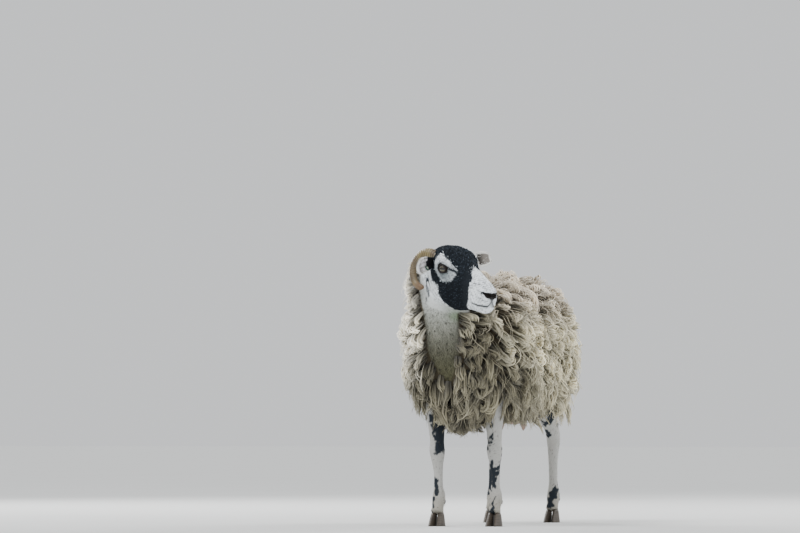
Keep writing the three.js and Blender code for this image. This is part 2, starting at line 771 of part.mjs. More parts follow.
// ---- Ears and horns ---------------------------------------------------------------------------
// One section of an ear, a share of the way to its tip: an arc whose edges curl forwards.
function earSection(side, share) {
  const set = side > 0 ? EAR_SET.left : EAR_SET.right;
  const [raise, forward] = [radians(set.raise), radians(set.forward)];
  const out = vec(Math.sin(forward), side * Math.cos(forward), Math.tan(raise)).normalize();
  const front = vec(Math.cos(forward), -side * Math.sin(forward), 0.25).normalize();
  const up = vec(0, 0, 0).crossVectors(out, front).multiplyScalar(side).normalize();
  const middle = vec(EAR.x, side * EAR.y, EAR.z).addScaledVector(out, EAR.length * share);
  middle.z -= set.droop * share * share;
  const halfWidth = EAR.halfWidth * (0.48 + 0.96 * share) * Math.sqrt(1 - Math.pow(share, 2.6));
  const bend = 1.45 - 0.95 * smoothstep(share, 0, 0.75);
  const radius = halfWidth / Math.sin(Math.min(bend, Math.PI / 2));
  const filled = 1 - smoothstep(share, 0.04, 0.3);
  const wall = EAR.wall + filled * radius * 0.55;
  // From edge to edge at a depth in from the back; q runs from -1 to 1.
  const place = (q, deep) =>
    middle
      .clone()
      .addScaledVector(up, (radius - deep) * Math.sin(q * bend))
      .addScaledVector(front, radius - (radius - deep) * Math.cos(q * bend));
  return { out, wall, place };
}

// A cupped leaf with a wall of its own.
function earGeometry(side) {
  const [steps, wide] = [8, 6];
  const rings = [];
  for (let i = 0; i <= steps; i++) {
    const { wall, place } = earSection(side, (i / steps) * 0.965);
    const shares = Array.from({ length: wide }, (_, k) => (2 * k) / (wide - 1) - 1);
    rings.push([...shares.map((q) => place(q, 0)), ...shares.map((q) => place(-q, wall))]);
  }
  const mean = (ring) =>
    ring.reduce((sum, p) => sum.add(p), vec(0, 0, 0)).divideScalar(ring.length);
  const { out } = earSection(side, 1);
  const tip = mean(rings[steps]).addScaledVector(out, EAR.length * 0.03);
  return ringGeometry(rings, mean(rings[0]).addScaledVector(out, -4), tip);
}

// A bare button tag with a stud, let a little way into the cup of the right ear.
function tagGeometries() {
  const { wall, place } = earSection(-1, TAG.share);
  const seat = place(TAG.across, wall);
  const away = place(TAG.across, wall + 10).sub(seat).normalize();
  const turn = new THREE.Quaternion().setFromUnitVectors(vec(0, 1, 0), away);
  const disc = (radius, foot, height) =>
    new THREE.CylinderGeometry(radius * 0.92, radius, height, 12)
      .applyQuaternion(turn)
      .translate(...seat.clone().addScaledVector(away, foot + height / 2).toArray());
  return [disc(TAG.radius, -TAG.sunk, TAG.thickness), disc(TAG.stud, 0, TAG.thickness + 1)];
}

// A tapering horn on an open turn, its growth rings raised round it.
function hornGeometry(side) {
  const steps = HORN_RINGS * 2;
  const path = [];
  for (let i = 0; i <= steps; i++) {
    const share = i / steps;
    const angle = radians(HORN.start + (HORN.end - HORN.start) * share);
    const out = HORN_OUT[0] + (HORN_OUT[1] - HORN_OUT[0]) * Math.pow(share, 0.62);
    path.push(vec(
      HORN.x + HORN.radius * Math.cos(angle),
      side * out,
      HORN.z + HORN.radius * Math.sin(angle),
    ));
  }
  const rings = path.map((p, i) => {
    const share = i / steps;
    const ahead = heading(path, i);
    const inward = vec(HORN.x, p.y, HORN.z).sub(p).normalize();
    const across = vec(0, 0, 0).crossVectors(ahead, inward).normalize();
    const ridge = i % 2 === 1 ? 0.9 : -0.5;
    const blunt = Math.sqrt(1 - Math.pow(smoothstep(share, 0.9, 1.0), 2) * 0.62);
    const radius = THREE.MathUtils.lerp(HORN.base, HORN.tip, share) * blunt + ridge;
    return ovalRing(p, inward.multiplyScalar(radius), across.multiplyScalar(radius * 0.9), 7);
  });
  const tip = path[steps].clone().addScaledVector(heading(path, steps), 4.5);
  return ringGeometry(rings, path[0].clone(), tip);
}

// ---- Tail and udder ------------------------------------------------------------------------------
function tailGeometries(random) {
  const path = TAIL.map(([y, z]) => vec(0, y, z));
  const rings = TAIL.map(([, , radius], i) => {
    const back = vec(0, 0, 0).crossVectors(vec(1, 0, 0), heading(path, i)).normalize();
    return ovalRing(path[i], vec(radius, 0, 0), back.multiplyScalar(radius * 0.85), 10);
  });
  const tip = path[path.length - 1].clone().add(vec(0, -2, -16));
  const pieces = [ringGeometry(rings, path[0].clone().add(vec(0, -6, 4)), tip)];
  for (let row = 0; row < TAIL_LOCKS.rows; row++) {
    for (let k = 0; k < TAIL_LOCKS.around; k++) {
      const share = (row + 0.35 * (k % 2)) / TAIL_LOCKS.rows;
      const z = TAIL[1][1] - 10 - share * (TAIL[1][1] - TAIL[5][1] - 40);
      const [minusY, radius] = between(TAIL.map(([y, h, r]) => [-h, -y, r]), -z);
      const angle = ((k / (TAIL_LOCKS.around - 1)) * 2 - 1) * 1.75 + 0.2 * (random() - 0.5);
      const out = vec(Math.sin(angle), Math.cos(angle), 0);
      const root = vec(0, -minusY, z).addScaledVector(out, radius - 10);
      const length = TAIL_LOCKS.length * (0.85 + 0.3 * random());
      const lockRings = [0, 0.4, 0.78].map((t, i) => {
        const middle = root
          .clone()
          .add(vec(0, 0, -length * t))
          .addScaledVector(out, (TAIL_LOCKS.proud + 10) * Math.sqrt(t) * (1 - 0.3 * t));
        const across = vec(0, 0, 0).crossVectors(out, vec(0, 0, 1)).normalize();
        const wide = (TAIL_LOCKS.width * [0.6, 1, 0.7][i]) / 2;
        const thick = (TAIL_LOCKS.thickness * [0.9, 1, 0.7][i]) / 2;
        return ovalRing(middle, across.multiplyScalar(wide), out.clone().multiplyScalar(thick), 5);
      });
      const end = root.clone().add(vec(0, 0, -length)).addScaledVector(out, TAIL_LOCKS.proud);
      pieces.push(ringGeometry(lockRings, root.clone().add(vec(0, 0, 6)), end));
    }
  }
  return pieces;
}

function udderGeometries() {
  const { y, z, radii, teat, spread } = UDDER;
  const teats = [-1, 1].map((side) =>
    ellipsoid([side * spread, y - 8, z - radii[2] * 0.86], [teat[0], teat[0], teat[1]], 6, 5),
  );
  return [ellipsoid([0, y, z], radii, 12, 8), ...teats];
}

// ---- Put together ----------------------------------------------------------------------------------
const LEGS = ["foreleg_left", "foreleg_right", "hindleg_left", "hindleg_right"];
const SIDES = { left: 1, right: -1 };
const inHead = (geometry) => geometry.applyMatrix4(headFrame);
const solids = {};

// Head, with eyes, ears and horns let into it.
const headShell = inHead(headGeometry());
const letIn = [];
for (const [word, side] of Object.entries(SIDES)) {
  const parts = {
    eye: inHead(eyeGeometry(side)),
    ear: inHead(earGeometry(side)),
    horn: inHead(hornGeometry(side)),
  };
  letIn.push(...Object.values(parts));
  for (const [part, geometry] of Object.entries(parts)) solids[`${part}_${word}`] = solid(geometry);
  solids[`ear_${word}`] = whole(solids[`ear_${word}`].subtract(roomFor([parts.horn])));
}
const tag = tagGeometries().map(inHead);
solids.tag = joined(tag);
solids.ear_right = whole(solids.ear_right.subtract(roomFor(tag)));
const lids = [1, -1].map((side) => inHead(lidGeometry(side)));
const openings = [1, -1]
  .flatMap((side) => [nostrilGeometry(side), eyeOpeningGeometry(side)])
  .concat(mouthGeometry())
  .map(inHead);
const lidded = join(solid(headShell).subtract(joined(openings)), joined(lids));
solids.head = whole(lidded.subtract(roomFor(letIn)));

// Legs, claws, udder and tail.
for (const name of LEGS) {
  const claws = [-1, 1].map((hand) => clawGeometry(name, hand));
  solids[name] = whole(joined(legGeometries(name)).subtract(roomFor(claws)));
  const places = legPlacement(name).side > 0 ? ["inner", "outer"] : ["outer", "inner"];
  places.forEach((place, i) => {
    solids[`claw_${name.replace("leg_", "_")}_${place}`] = solid(claws[i]);
  });
}
const tail = tailGeometries(seeded(11));
const udder = udderGeometries();
solids.udder = joined(udder);
solids.tail = whole(joined(tail));

// Fleece-covered neck and torso, parted by planes and cut clear of what they carry.
const random = seeded(7);
const roots = fleeceRoots(random);
const neckNormal = vec(...NECK_PLANE.normal).normalize();
const neckOffset = neckNormal.dot(vec(...NECK_PLANE.point));
const cores = joined([
  trunkGeometry(CORE_DEPTH),
  neckGeometry(CORE_DEPTH),
  ...muscleGeometries(CORE_DEPTH),
]);
const onNeck = (p) => neckNormal.dot(p) > neckOffset;
const flip = (normal) => normal.clone().negate();
const keep = (made, normal, offset) => made.trimByPlane(normal.toArray(), offset + GAP / 2);

const torsoRoom = roomFor([...LEGS.flatMap(legGeometries), ...udder, ...tail]);
const neckLocks = locks(roots.filter(onNeck), random);
const torsoLocks = locks(roots.filter((p) => !onNeck(p)), random);
const neckWhole = join(cores, ...neckLocks);
const torsoWhole = join(cores, ...torsoLocks).subtract(torsoRoom);
const neckRoom = roomFor([headShell, ...letIn]);
solids.neck = whole(keep(neckWhole, neckNormal, neckOffset).subtract(neckRoom));
solids.torso = whole(keep(torsoWhole, flip(neckNormal), -neckOffset));

// ---- Colours and scene graph -----------------------------------------------------------------------
const FINISHES = {
  fleece: { color: 0xb3a692, roughness: 0.95 },
  face: { color: 0x2a2829, roughness: 0.9 },
  leg: { color: 0xa9a6a2, roughness: 0.9 },
  ear: { color: 0xd9d6d0, roughness: 0.85 },
  horn: { color: 0x9c8a6c, roughness: 0.55 },
  eye: { color: 0x6b5326, roughness: 0.1 },
  claw: { color: 0x3b342d, roughness: 0.6 },
  udder: { color: 0xb98f80, roughness: 0.7 },
  tag: { color: 0x2f6b46, roughness: 0.4 },
};
const FINISH_OF = [
  ["neck", "fleece"],
  ["torso", "fleece"],
  ["tail", "fleece"],
  ["head", "face"],
  ["foreleg", "leg"],
  ["hindleg", "leg"],
  ["ear", "ear"],
  ["horn", "horn"],
  ["eye", "eye"],
  ["claw", "claw"],
  ["udder", "udder"],
  ["tag", "tag"],
];

// A solid's triangles as a named mesh in its part's finish.
function meshOf(name, made) {
  const { vertProperties, triVerts, numProp } = made.simplify(0.02).getMesh();
  const corners = Float32Array.from(
    { length: (vertProperties.length / numProp) * 3 },
    (_, i) => vertProperties[Math.floor(i / 3) * numProp + (i % 3)],
  );
  const geometry = new THREE.BufferGeometry()
    .setAttribute("position", new THREE.BufferAttribute(corners, 3))
    .setIndex(new THREE.BufferAttribute(triVerts, 1));
  geometry.computeVertexNormals();
  const [, finish] = FINISH_OF.find(([start]) => name.startsWith(start));
  const material = new THREE.MeshStandardMaterial({ ...FINISHES[finish], metalness: 0 });
  const mesh = new THREE.Mesh(geometry, material);
  mesh.name = name;
  return mesh;
}

const ewe = new THREE.Group();
for (const [name, made] of Object.entries(solids)) ewe.add(meshOf(name, made));
const box = new THREE.Box3().setFromObject(ewe);
ewe.position.set(-(box.min.x + box.max.x) / 2, -(box.min.y + box.max.y) / 2, -box.min.z);

export default ewe;
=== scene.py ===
"""A horned hill ewe in full fleece, dressed for the render.

Tables are in millimetres on the ewe's own midline frame: x to her left, y towards her tail,
z up from the floor. One skin stands for head, neck, torso, tail, legs and udder. Wool, hair,
horns, ears, eyes, claws and the ear tag are pieces of their own.
"""

import bpy
import numpy as np
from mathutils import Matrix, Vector


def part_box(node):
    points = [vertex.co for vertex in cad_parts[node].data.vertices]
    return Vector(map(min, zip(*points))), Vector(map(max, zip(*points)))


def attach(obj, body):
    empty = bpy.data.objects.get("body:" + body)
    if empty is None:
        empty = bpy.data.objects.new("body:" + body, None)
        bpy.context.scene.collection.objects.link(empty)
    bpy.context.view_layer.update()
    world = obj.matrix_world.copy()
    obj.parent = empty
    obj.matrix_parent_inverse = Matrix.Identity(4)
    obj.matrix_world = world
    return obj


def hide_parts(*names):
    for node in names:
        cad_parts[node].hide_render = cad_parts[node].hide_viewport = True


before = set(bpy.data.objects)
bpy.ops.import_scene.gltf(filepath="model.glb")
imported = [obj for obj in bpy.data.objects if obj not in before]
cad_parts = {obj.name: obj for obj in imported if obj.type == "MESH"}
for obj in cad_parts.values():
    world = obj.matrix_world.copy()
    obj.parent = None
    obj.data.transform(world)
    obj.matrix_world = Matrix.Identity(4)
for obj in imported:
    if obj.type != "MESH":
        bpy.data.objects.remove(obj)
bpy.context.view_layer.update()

MM = 0.001
FULL_TURN = 6.283
SIDES = (("left", 1), ("right", -1))


# ---- Small helpers ----
def smoothstep(value, low, high):
    """0 below low, 1 above high, and 3t^2 - 2t^3 between."""
    t = np.clip((value - low) / (high - low), 0, 1)
    return t * t * (3 - 2 * t)


def mix(a, b, share):
    """a + (b - a) * share."""
    return a + (b - a) * share


def unit(vectors):
    """Vectors divided by their lengths."""
    return vectors / np.maximum(np.linalg.norm(vectors, axis=-1, keepdims=True), 1e-9)


def power(value, exponent):
    """|value| to an exponent."""
    return np.abs(value) ** exponent


def signed_power(value, exponent):
    """|value| to an exponent, with the sign of value."""
    return np.sign(value) * np.abs(value) ** exponent


def hump(value, centre, reach):
    """exp(-((value - centre) / reach)^2)."""
    return np.exp(-(((value - centre) / reach) ** 2))


def plateau(value, foot, top, end, far_foot):
    """1 from top to end and 0 outside both feet."""
    return smoothstep(value, foot, top) * (1 - smoothstep(value, end, far_foot))


def circle(count):
    """Angles evenly round a circle, as a row."""
    return np.linspace(0, 2 * np.pi, count, endpoint=False)[None, :]


def between(rows, position):
    """Values beside positions in rows of [position, value, ...]: a cubic through the rows whose
    slope at each row is the slope between its neighbours."""
    rows = np.asarray(rows, float)
    at = np.clip(position, rows[0, 0], rows[-1, 0])
    i = np.clip(np.searchsorted(rows[:, 0], at, side="right") - 1, 0, len(rows) - 2)
    a, b = rows[i], rows[i + 1]
    before, after = rows[np.maximum(i - 1, 0)], rows[np.minimum(i + 2, len(rows) - 1)]
    span = (b[..., 0] - a[..., 0])[..., None]
    t = ((at - a[..., 0]) / span[..., 0])[..., None]
    slope_in = (b - before)[..., 1:] / (b - before)[..., :1] * span
    slope_out = (after - a)[..., 1:] / (after - a)[..., :1] * span
    start, end = a[..., 1:], b[..., 1:]
    t2, t3 = t * t, t * t * t
    return (
        (2 * t3 - 3 * t2 + 1) * start
        + (t3 - 2 * t2 + t) * slope_in
        + (3 * t2 - 2 * t3) * end
        + (t3 - t2) * slope_out
    )


def wander(points, size, seed):
    """A smooth random field from about -1 to 1 that changes over a size in mm: the mean of
    sines along random directions."""
    random = np.random.default_rng(seed)
    total = 0
    for _ in range(7):
        direction = unit(random.normal(size=3)) * random.uniform(0.6, 1.6)
        phase = random.uniform(0, FULL_TURN)
        total = total + np.sin(points @ direction * (FULL_TURN / size) + phase)
    return total / 3.2


def linear(code):
    """An sRGB hex colour as linear red, green and blue."""
    value = np.array([int(code[i : i + 2], 16) for i in (1, 3, 5)]) / 255
    return np.where(value <= 0.04045, value / 12.92, ((value + 0.055) / 1.055) ** 2.4)


# ---- Sizes: those of the solids, but for finer throat, head and horns ----
TRUNK_REACH, TRUNK_END_SQUARENESS, TRUNK_SQUARENESS = 354, 3.2, 2.25
TRUNK = [  # y, half width, back height, belly height
    [-430, 108, 636, 380],
    [-300, 124, 660, 356],
    [-160, 136, 674, 352],
    [0, 148, 669, 350],
    [150, 146, 676, 356],
    [280, 122, 678, 392],
    [430, 96, 658, 440],
]
NECK = [  # height, middle x, middle y, half width, half depth
    [356, 0, -268, 76, 66],
    [392, -1, -284, 96, 86],
    [440, -6, -300, 92, 98],
    [510, -16, -324, 82, 102],
    [570, -24, -346, 72, 90],
    [630, -33, -366, 64, 76],
    [680, -41, -379, 58, 64],
    [712, -45, -385, 50, 54],
    [738, -45, -389, 39, 42],
    [756, -44, -391, 26, 28],
]
NECK_END = 50
TRUNK_SCALE, NECK_SCALE, MUSCLE_SCALE = 150, 80, 75  # mm for a unit of each one's distance
MUSCLES = [  # centre and radii of shoulder and thigh
    ((80, -222, 500), (62, 92, 138)),
    ((70, 222, 470), (66, 108, 142)),
]
BLEND = 38  # how far apart two distances still round each other off
NECK_FRONT = -250  # the neck's front is ahead of this y
FORELEG = [  # x, y, z, half width, half depth
    [88, -254, 402, 32, 48],
    [88, -262, 345, 29, 39],
    [87, -265, 290, 24, 29],
    [87, -265, 243, 20, 22.5],
    [87, -266, 217, 22, 25],
    [87, -263, 192, 18.5, 21],
    [87, -259, 155, 13.5, 15.5],
    [87, -258, 115, 13.2, 15],
    [87, -257, 90, 17, 19.5],
    [87, -259, 75, 18.5, 21],
    [87, -266, 56, 16.5, 18],
    [87, -273, 38, 18.5, 20],
]
HIND_LEG = [
    [86, 232, 452, 40, 76],
    [92, 216, 395, 38, 64],
    [92, 222, 350, 32, 49],
    [91, 248, 312, 25, 34],
    [90, 280, 284, 20.5, 25],
    [89, 299, 262, 20, 27],
    [89, 302, 240, 19.5, 23.5],
    [89, 297, 212, 16, 18],
    [89, 293, 158, 14, 15.5],
    [89, 292, 116, 14, 15.5],
    [89, 292, 90, 17.5, 20],
    [89, 290, 75, 19, 21.5],
    [89, 283, 56, 17, 18.5],
    [89, 276, 38, 18.5, 20],
]
LEGS = {  # side, rows, and how far the foot steps to her left and back
    "foreleg_left": (1, FORELEG, (0, 8)),
    "foreleg_right": (-1, FORELEG, (9, -10)),
    "hindleg_left": (1, HIND_LEG, (0, 20)),
    "hindleg_right": (-1, HIND_LEG, (4, -22)),
}
DEWCLAW_RADII, DEWCLAW_SPREAD, DEWCLAW_BEHIND, DEWCLAW_HEIGHT = (5, 6, 8), 10.5, 19, 70
HOCK_CENTRE, HOCK_RADII = (89, 318, 278), (10, 12, 24)
CLAW = {"height": 40, "half": 11, "toe": 34, "heel": 24, "spread": 11.9, "lean": 0.62}
TAIL = [  # share of the way down, y, z, radius
    [0, 318, 610, 26],
    [0.18, 366, 590, 27],
    [0.4, 404, 542, 26],
    [0.6, 418, 480, 23],
    [0.8, 418, 410, 19],
    [1, 412, 352, 11],
]
UDDER_CENTRE, UDDER_RADII = (0, 196, 352), (62, 72, 62)
TEAT_RADII, TEAT_SPREAD = (9, 9, 26), 34

HEAD_ORIGIN, HEAD_TURN, HEAD_DROP = np.array([-64, -380, 628.0]), 60, 9
HEAD = [  # X, crown, jaw, half width above the middle, half width below it
    [4, 142, 62, 36, 28],
    [14, 159, 42, 50, 40],
    [34, 171, 20, 57, 48],
    [62, 175, 8, 61, 51],
    [96, 170, 3, 60, 50],
    [126, 154, 4, 51, 45],
    [156, 134, 9, 41, 38],
    [186, 117, 11, 36, 33],
    [213, 103, 9, 34, 31],
    [230, 92, 8, 31, 28],
    [240, 81, 12, 26, 23],
    [247, 68, 20, 18, 16],
    [250.5, 58, 31, 10, 9],
]
HEAD_POLES = ((-4, 0, 104), (253, 0, 46))
HEAD_SQUARENESS = 2.25
EYE = {"x": 100, "y": 52.5, "z": 115.5, "radius": 14.5}
BULGE = 1.4
LID = {"length": 13.6, "height": 9.6, "tilt": 0.14, "thickness": 2.6, "bow": 1.02, "skew": 0.12}
MOUTH = {"corner": 198, "height": 32.5, "rise": 6.5, "sag": 3.4}
NOSTRIL_BACK, NOSTRIL_FRONT = (239, 26, 66), (248.5, 6, 58)
EAR = {"x": 36, "y": 50, "z": 123, "length": 116, "half": 23, "wall": 3.2}
EAR_SET = {1: (14, 8, 5), -1: (4, 29, 22)}  # side: raise, forward and droop
TAG_SHARE, TAG_ACROSS = 0.46, 0.62
TAG_BUTTON = [  # radius and height of the profile
    [7.4, -1], [8.2, -0.8], [8.5, -0.2], [8.5, 1.2], [8.1, 1.9], [7.3, 2.2], [5, 2.3], [3.8, 2.2]
]
TAG_STUD = [[3.4, 0], [3.6, 2], [3.6, 3.6], [3.2, 4.1], [2.4, 4.2], [1.7, 3.9], [1.2, 3.6]]
HORN = {"x": 20, "z": 101, "radius": 47.5, "start": 50, "end": 284, "base": 15.4, "tip": 8.6}
HORN_OUT, HORN_RINGS = (30, 66), 32
THROAT = [  # height, the way it faces in degrees to her left of ahead, its half angle
    [392, -4, -8],
    [444, -3, 13],
    [500, -2, 26],
    [560, 3, 31],
    [620, 9, 42],
    [660, 30, 72],
    [700, 60, 112],
    [756, 60, 125],
]

# The solids stand in the row's frame: one claw's box gives the shift from the ewe's own, in
# which that claw's middle is at CLAW_MIDDLE.
CLAW_MIDDLE = np.array([75.1, -270])
claw_middle = np.mean(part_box("claw_fore_left_inner"), axis=0)
SHIFT = np.append(claw_middle[:2] - CLAW_MIDDLE * MM, 0)

turn, drop = np.radians(HEAD_TURN - 90), np.radians(HEAD_DROP)
HEAD_AXES = np.array(
    [[np.cos(turn), -np.sin(turn), 0], [np.sin(turn), np.cos(turn), 0], [0, 0, 1]]
) @ np.array([[np.cos(drop), 0, np.sin(drop)], [0, 1, 0], [-np.sin(drop), 0, np.cos(drop)]])


def from_head(points):
    """Points in the head's frame, moved to the body's."""
    return np.asarray(points, float) @ HEAD_AXES.T + HEAD_ORIGIN


def to_head(points):
    """Points in the body's frame, in the head's."""
    return (np.asarray(points, float) - HEAD_ORIGIN) @ HEAD_AXES


# ---- The skin as a distance ----
def trunk_size(y):
    """Half width, middle height and half height of the trunk at y."""
    half, back, belly = np.moveaxis(between(TRUNK, y), -1, 0)
    return half, (back + belly) / 2, (back - belly) / 2


def trunk_distance(p):
    """A superellipse across, rounded off by another one lengthwise; 0 on the skin."""
    half, middle, tall = trunk_size(p[..., 1])
    across = power(p[..., 0] / half, TRUNK_SQUARENESS)
    across = across + power((p[..., 2] - middle) / tall, TRUNK_SQUARENESS)
    across = across ** (TRUNK_END_SQUARENESS / TRUNK_SQUARENESS)
    along = power(p[..., 1] / TRUNK_REACH, TRUNK_END_SQUARENESS)
    return ((across + along) ** (1 / TRUNK_END_SQUARENESS) - 1) * TRUNK_SCALE


def neck_distance(p):
    """An ellipse in each level slice, rounded off past both ends."""
    x, y, half, deep = np.moveaxis(between(NECK, p[..., 2]), -1, 0)
    past = np.maximum(np.maximum(NECK[0][0] - p[..., 2], p[..., 2] - NECK[-1][0]), 0)
    parts = ((p[..., 0] - x) / half) ** 2 + ((p[..., 1] - y) / deep) ** 2 + (past / NECK_END) ** 2
    return (np.sqrt(parts) - 1) * NECK_SCALE


def muscle_distance(p, muscle):
    """An ellipsoid on each side."""
    centre, radii = muscle
    away = (np.stack([np.abs(p[..., 0]), p[..., 1], p[..., 2]], -1) - centre) / radii
    return (np.linalg.norm(away, axis=-1) - 1) * MUSCLE_SCALE


def soft_min(a, b):
    """The smaller of two distances, rounded where they are nearly equal."""
    share = np.clip(0.5 + 0.5 * (b - a) / BLEND, 0, 1)
    return b + (a - b) * share - BLEND * share * (1 - share)


def skin_field(p):
    """0 on the skin of trunk, neck and muscles, and growing outwards."""
    total = soft_min(trunk_distance(p), neck_distance(p))
    for muscle in MUSCLES:
        total = soft_min(total, muscle_distance(p, muscle))
    return total


def over_skin(p):
    """Height over the skin, and the direction straight away from it, from central differences."""
    slope = np.stack([(skin_field(p + d) - skin_field(p - d)) / 2 for d in np.eye(3)], -1)
    steep = np.linalg.norm(slope, axis=-1, keepdims=True)
    return skin_field(p) / steep[..., 0], slope / steep


def past_throat(p):
    """Degrees round the neck past the edge of the short-haired throat."""
    x, y = np.moveaxis(between(NECK, p[..., 2])[..., :2], -1, 0)
    facing, half = np.moveaxis(between(THROAT, p[..., 2]), -1, 0)
    round_neck = np.degrees(np.arctan2(p[..., 0] - x, y - p[..., 1])) - facing
    return np.abs((round_neck + 180) % 360 - 180) - half


# ---- Meshes from arrays ----
def signed_volume(points, triangles):
    """Six times the volume inside a closed mesh, negative when its faces point inwards."""
    a, b, c = (points[triangles[:, i]] for i in range(3))
    return np.einsum("ij,ij->", a, np.cross(b, c))


def triangles_of(faces):
    """Quads and triangles as triangles alone."""
    quads, tris = faces
    parts = [tris] if len(tris) else []
    if len(quads):
        parts += [quads[:, [0, 1, 2]], quads[:, [0, 2, 3]]]
    return np.concatenate(parts)


def facing_out(points, faces):
    """Faces turned round if the closed mesh is inside out."""
    if signed_volume(points - points.mean(0), triangles_of(faces)) < 0:
        return tuple(f[:, ::-1] if len(f) else f for f in faces)
    return faces


def tube_faces(rings, around):
    """Faces of a closed tube: rings of points, then one point at each end."""
    ring, k = np.meshgrid(np.arange(rings - 1), np.arange(around), indexing="ij")
    ring, k = ring.ravel(), k.ravel()
    after = (k + 1) % around
    low, high = ring * around, (ring + 1) * around
    quads = np.stack([low + k, low + after, high + after, high + k], 1)
    k, after = k[:around], after[:around]
    first, top = np.full(around, rings * around), (rings - 1) * around
    tris = [np.stack([first, after, k], 1), np.stack([first + 1, top + k, top + after], 1)]
    return quads, np.concatenate(tris)


def tube(rings, first, last):
    """A closed mesh from an array of rings (ring, around, 3) and its two end points."""
    points = np.concatenate([rings.reshape(-1, 3), [first], [last]])
    return points, facing_out(points, tube_faces(*rings.shape[:2]))


def carried(path, first, across, second, deep):
    """Rings along a path: point + across * first direction + deep * second direction."""
    first, second = np.broadcast_to(first, path.shape), np.broadcast_to(second, path.shape)
    return path[:, None] + across[..., None] * first[:, None] + deep[..., None] * second[:, None]


def ellipsoid(centre, radii, around, rings):
    """Latitude rings: radius sin t and height cos t, stretched by the radii."""
    t = np.linspace(0, np.pi, rings + 2)[1:-1, None]
    a = circle(around)
    ball = np.stack([np.sin(t) * np.cos(a), np.sin(t) * np.sin(a), np.cos(t) + 0 * a], -1)
    ends = np.array([[0, 0, 1.0], [0, 0, -1.0]]) * radii + centre
    return tube(ball * radii + centre, ends[0], ends[1])


def mesh_object(name, points, faces):
    """A mesh object from points in mm on the ewe's frame."""
    quads, tris = faces
    mesh = bpy.data.meshes.new(name)
    corners = np.concatenate([quads.ravel(), tris.ravel()]).astype(np.int32)
    quad_starts = np.arange(len(quads)) * 4
    tri_starts = len(quads) * 4 + np.arange(len(tris)) * 3
    mesh.vertices.add(len(points))
    mesh.vertices.foreach_set("co", (points * MM + SHIFT).astype(np.float32).ravel())
    mesh.loops.add(len(corners))
    mesh.loops.foreach_set("vertex_index", corners)
    mesh.polygons.add(len(quads) + len(tris))
    starts = np.concatenate([quad_starts, tri_starts]).astype(np.int32)
    mesh.polygons.foreach_set("loop_start", starts)
    mesh.update(calc_edges=True)
    mesh.validate()
    mesh.shade_smooth()
    piece = bpy.data.objects.new(name, mesh)
    bpy.context.scene.collection.objects.link(piece)
    return piece


def mesh_points(piece):
    """A piece's vertices in mm on the ewe's frame."""
    mesh = piece.data
    flat = np.empty(len(mesh.vertices) * 3, np.float32)
    mesh.vertices.foreach_get("co", flat)
    return (flat.reshape(-1, 3).astype(float) - SHIFT) / MM


def set_points(piece, points):
    """Moves a piece's vertices to points in mm on the ewe's frame."""
    flat = (points * MM + SHIFT).astype(np.float32).ravel()
    piece.data.vertices.foreach_set("co", flat)
    piece.data.update()


def add_attribute(piece, name, values):
    """A colour or vector on each vertex."""
    values = np.asarray(values, np.float32)
    kind, field = ("FLOAT_COLOR", "color") if values.shape[1] == 4 else ("FLOAT_VECTOR", "vector")
    made = piece.data.attributes.new(name, kind, "POINT")
    made.data.foreach_set(field, values.ravel())


def add_colour(piece, colours):
    """The piece's own colour on each vertex, linear."""
    add_attribute(piece, "tint", np.column_stack([colours, np.ones(len(colours))]))


def finish_piece(piece, material, slot, *nodes):
    """Material, body and the solids that the piece stands for. The slot is not used."""
    piece.data.materials.clear()
    piece.data.materials.append(material)
    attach(piece, "root")
    if nodes:
        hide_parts(*nodes)


def modified(piece, kind, **settings):
    """A piece after one modifier, which is applied."""
    made = piece.modifiers.new(kind, kind)
    for key, value in settings.items():
        setattr(made, key, value)
    graph = bpy.context.evaluated_depsgraph_get()
    mesh = bpy.data.meshes.new_from_object(piece.evaluated_get(graph))
    piece.modifiers.remove(made)
    piece.data = mesh
    return piece


def joined(name, parts):
    """Several closed meshes in one object."""
    points, quads, tris, start = [], [], [], 0
    for part_points, (part_quads, part_tris) in parts:
        points.append(part_points)
        quads.append(np.asarray(part_quads).reshape(-1, 4) + start)
        tris.append(np.asarray(part_tris).reshape(-1, 3) + start)
        start += len(part_points)
    faces = np.concatenate(quads), np.concatenate(tris)
    return mesh_object(name, np.concatenate(points), faces)


# ---- Skin forms ----
def trunk_form(around=72, rings=60):
    """Superellipse rings across the trunk that close in at both ends."""
    share = -np.cos(np.pi * np.linspace(0, 1, rings + 2)[1:-1])
    y = TRUNK_REACH * share
    half, middle, tall = (v[:, None] for v in trunk_size(y))
    close = (1 - power(share, TRUNK_END_SQUARENESS)[:, None]) ** (1 / TRUNK_END_SQUARENESS)
    a = circle(around)
    x = half * close * signed_power(np.cos(a), 2 / TRUNK_SQUARENESS)
    z = middle + tall * close * signed_power(np.sin(a), 2 / TRUNK_SQUARENESS)
    rings_made = np.stack([x, np.broadcast_to(y[:, None], x.shape), z], -1)
    ends = [np.array([0, s, trunk_size(np.array([s]))[1][0]]) for s in (-TRUNK_REACH, TRUNK_REACH)]
    return tube(rings_made, *ends)


def neck_form(around=56, rings=44):
    """Level ellipses up the neck."""
    z = np.linspace(NECK[0][0], NECK[-1][0], rings)
    x, y, half, deep = (v[:, None] for v in between(NECK, z).T)
    a = circle(around)
    rings_made = np.stack([x + half * np.sin(a), y - deep * np.cos(a), z[:, None] + 0 * a], -1)
    low = [x[0, 0], y[0, 0], z[0] - 24]
    high = [x[-1, 0], y[-1, 0], z[-1] + 6]
    return tube(rings_made, low, high)


def step_share(height):
    """How much of the foot's step the leg takes at a height: all of it below the knee."""
    return 1 - smoothstep(height, 90, 400)


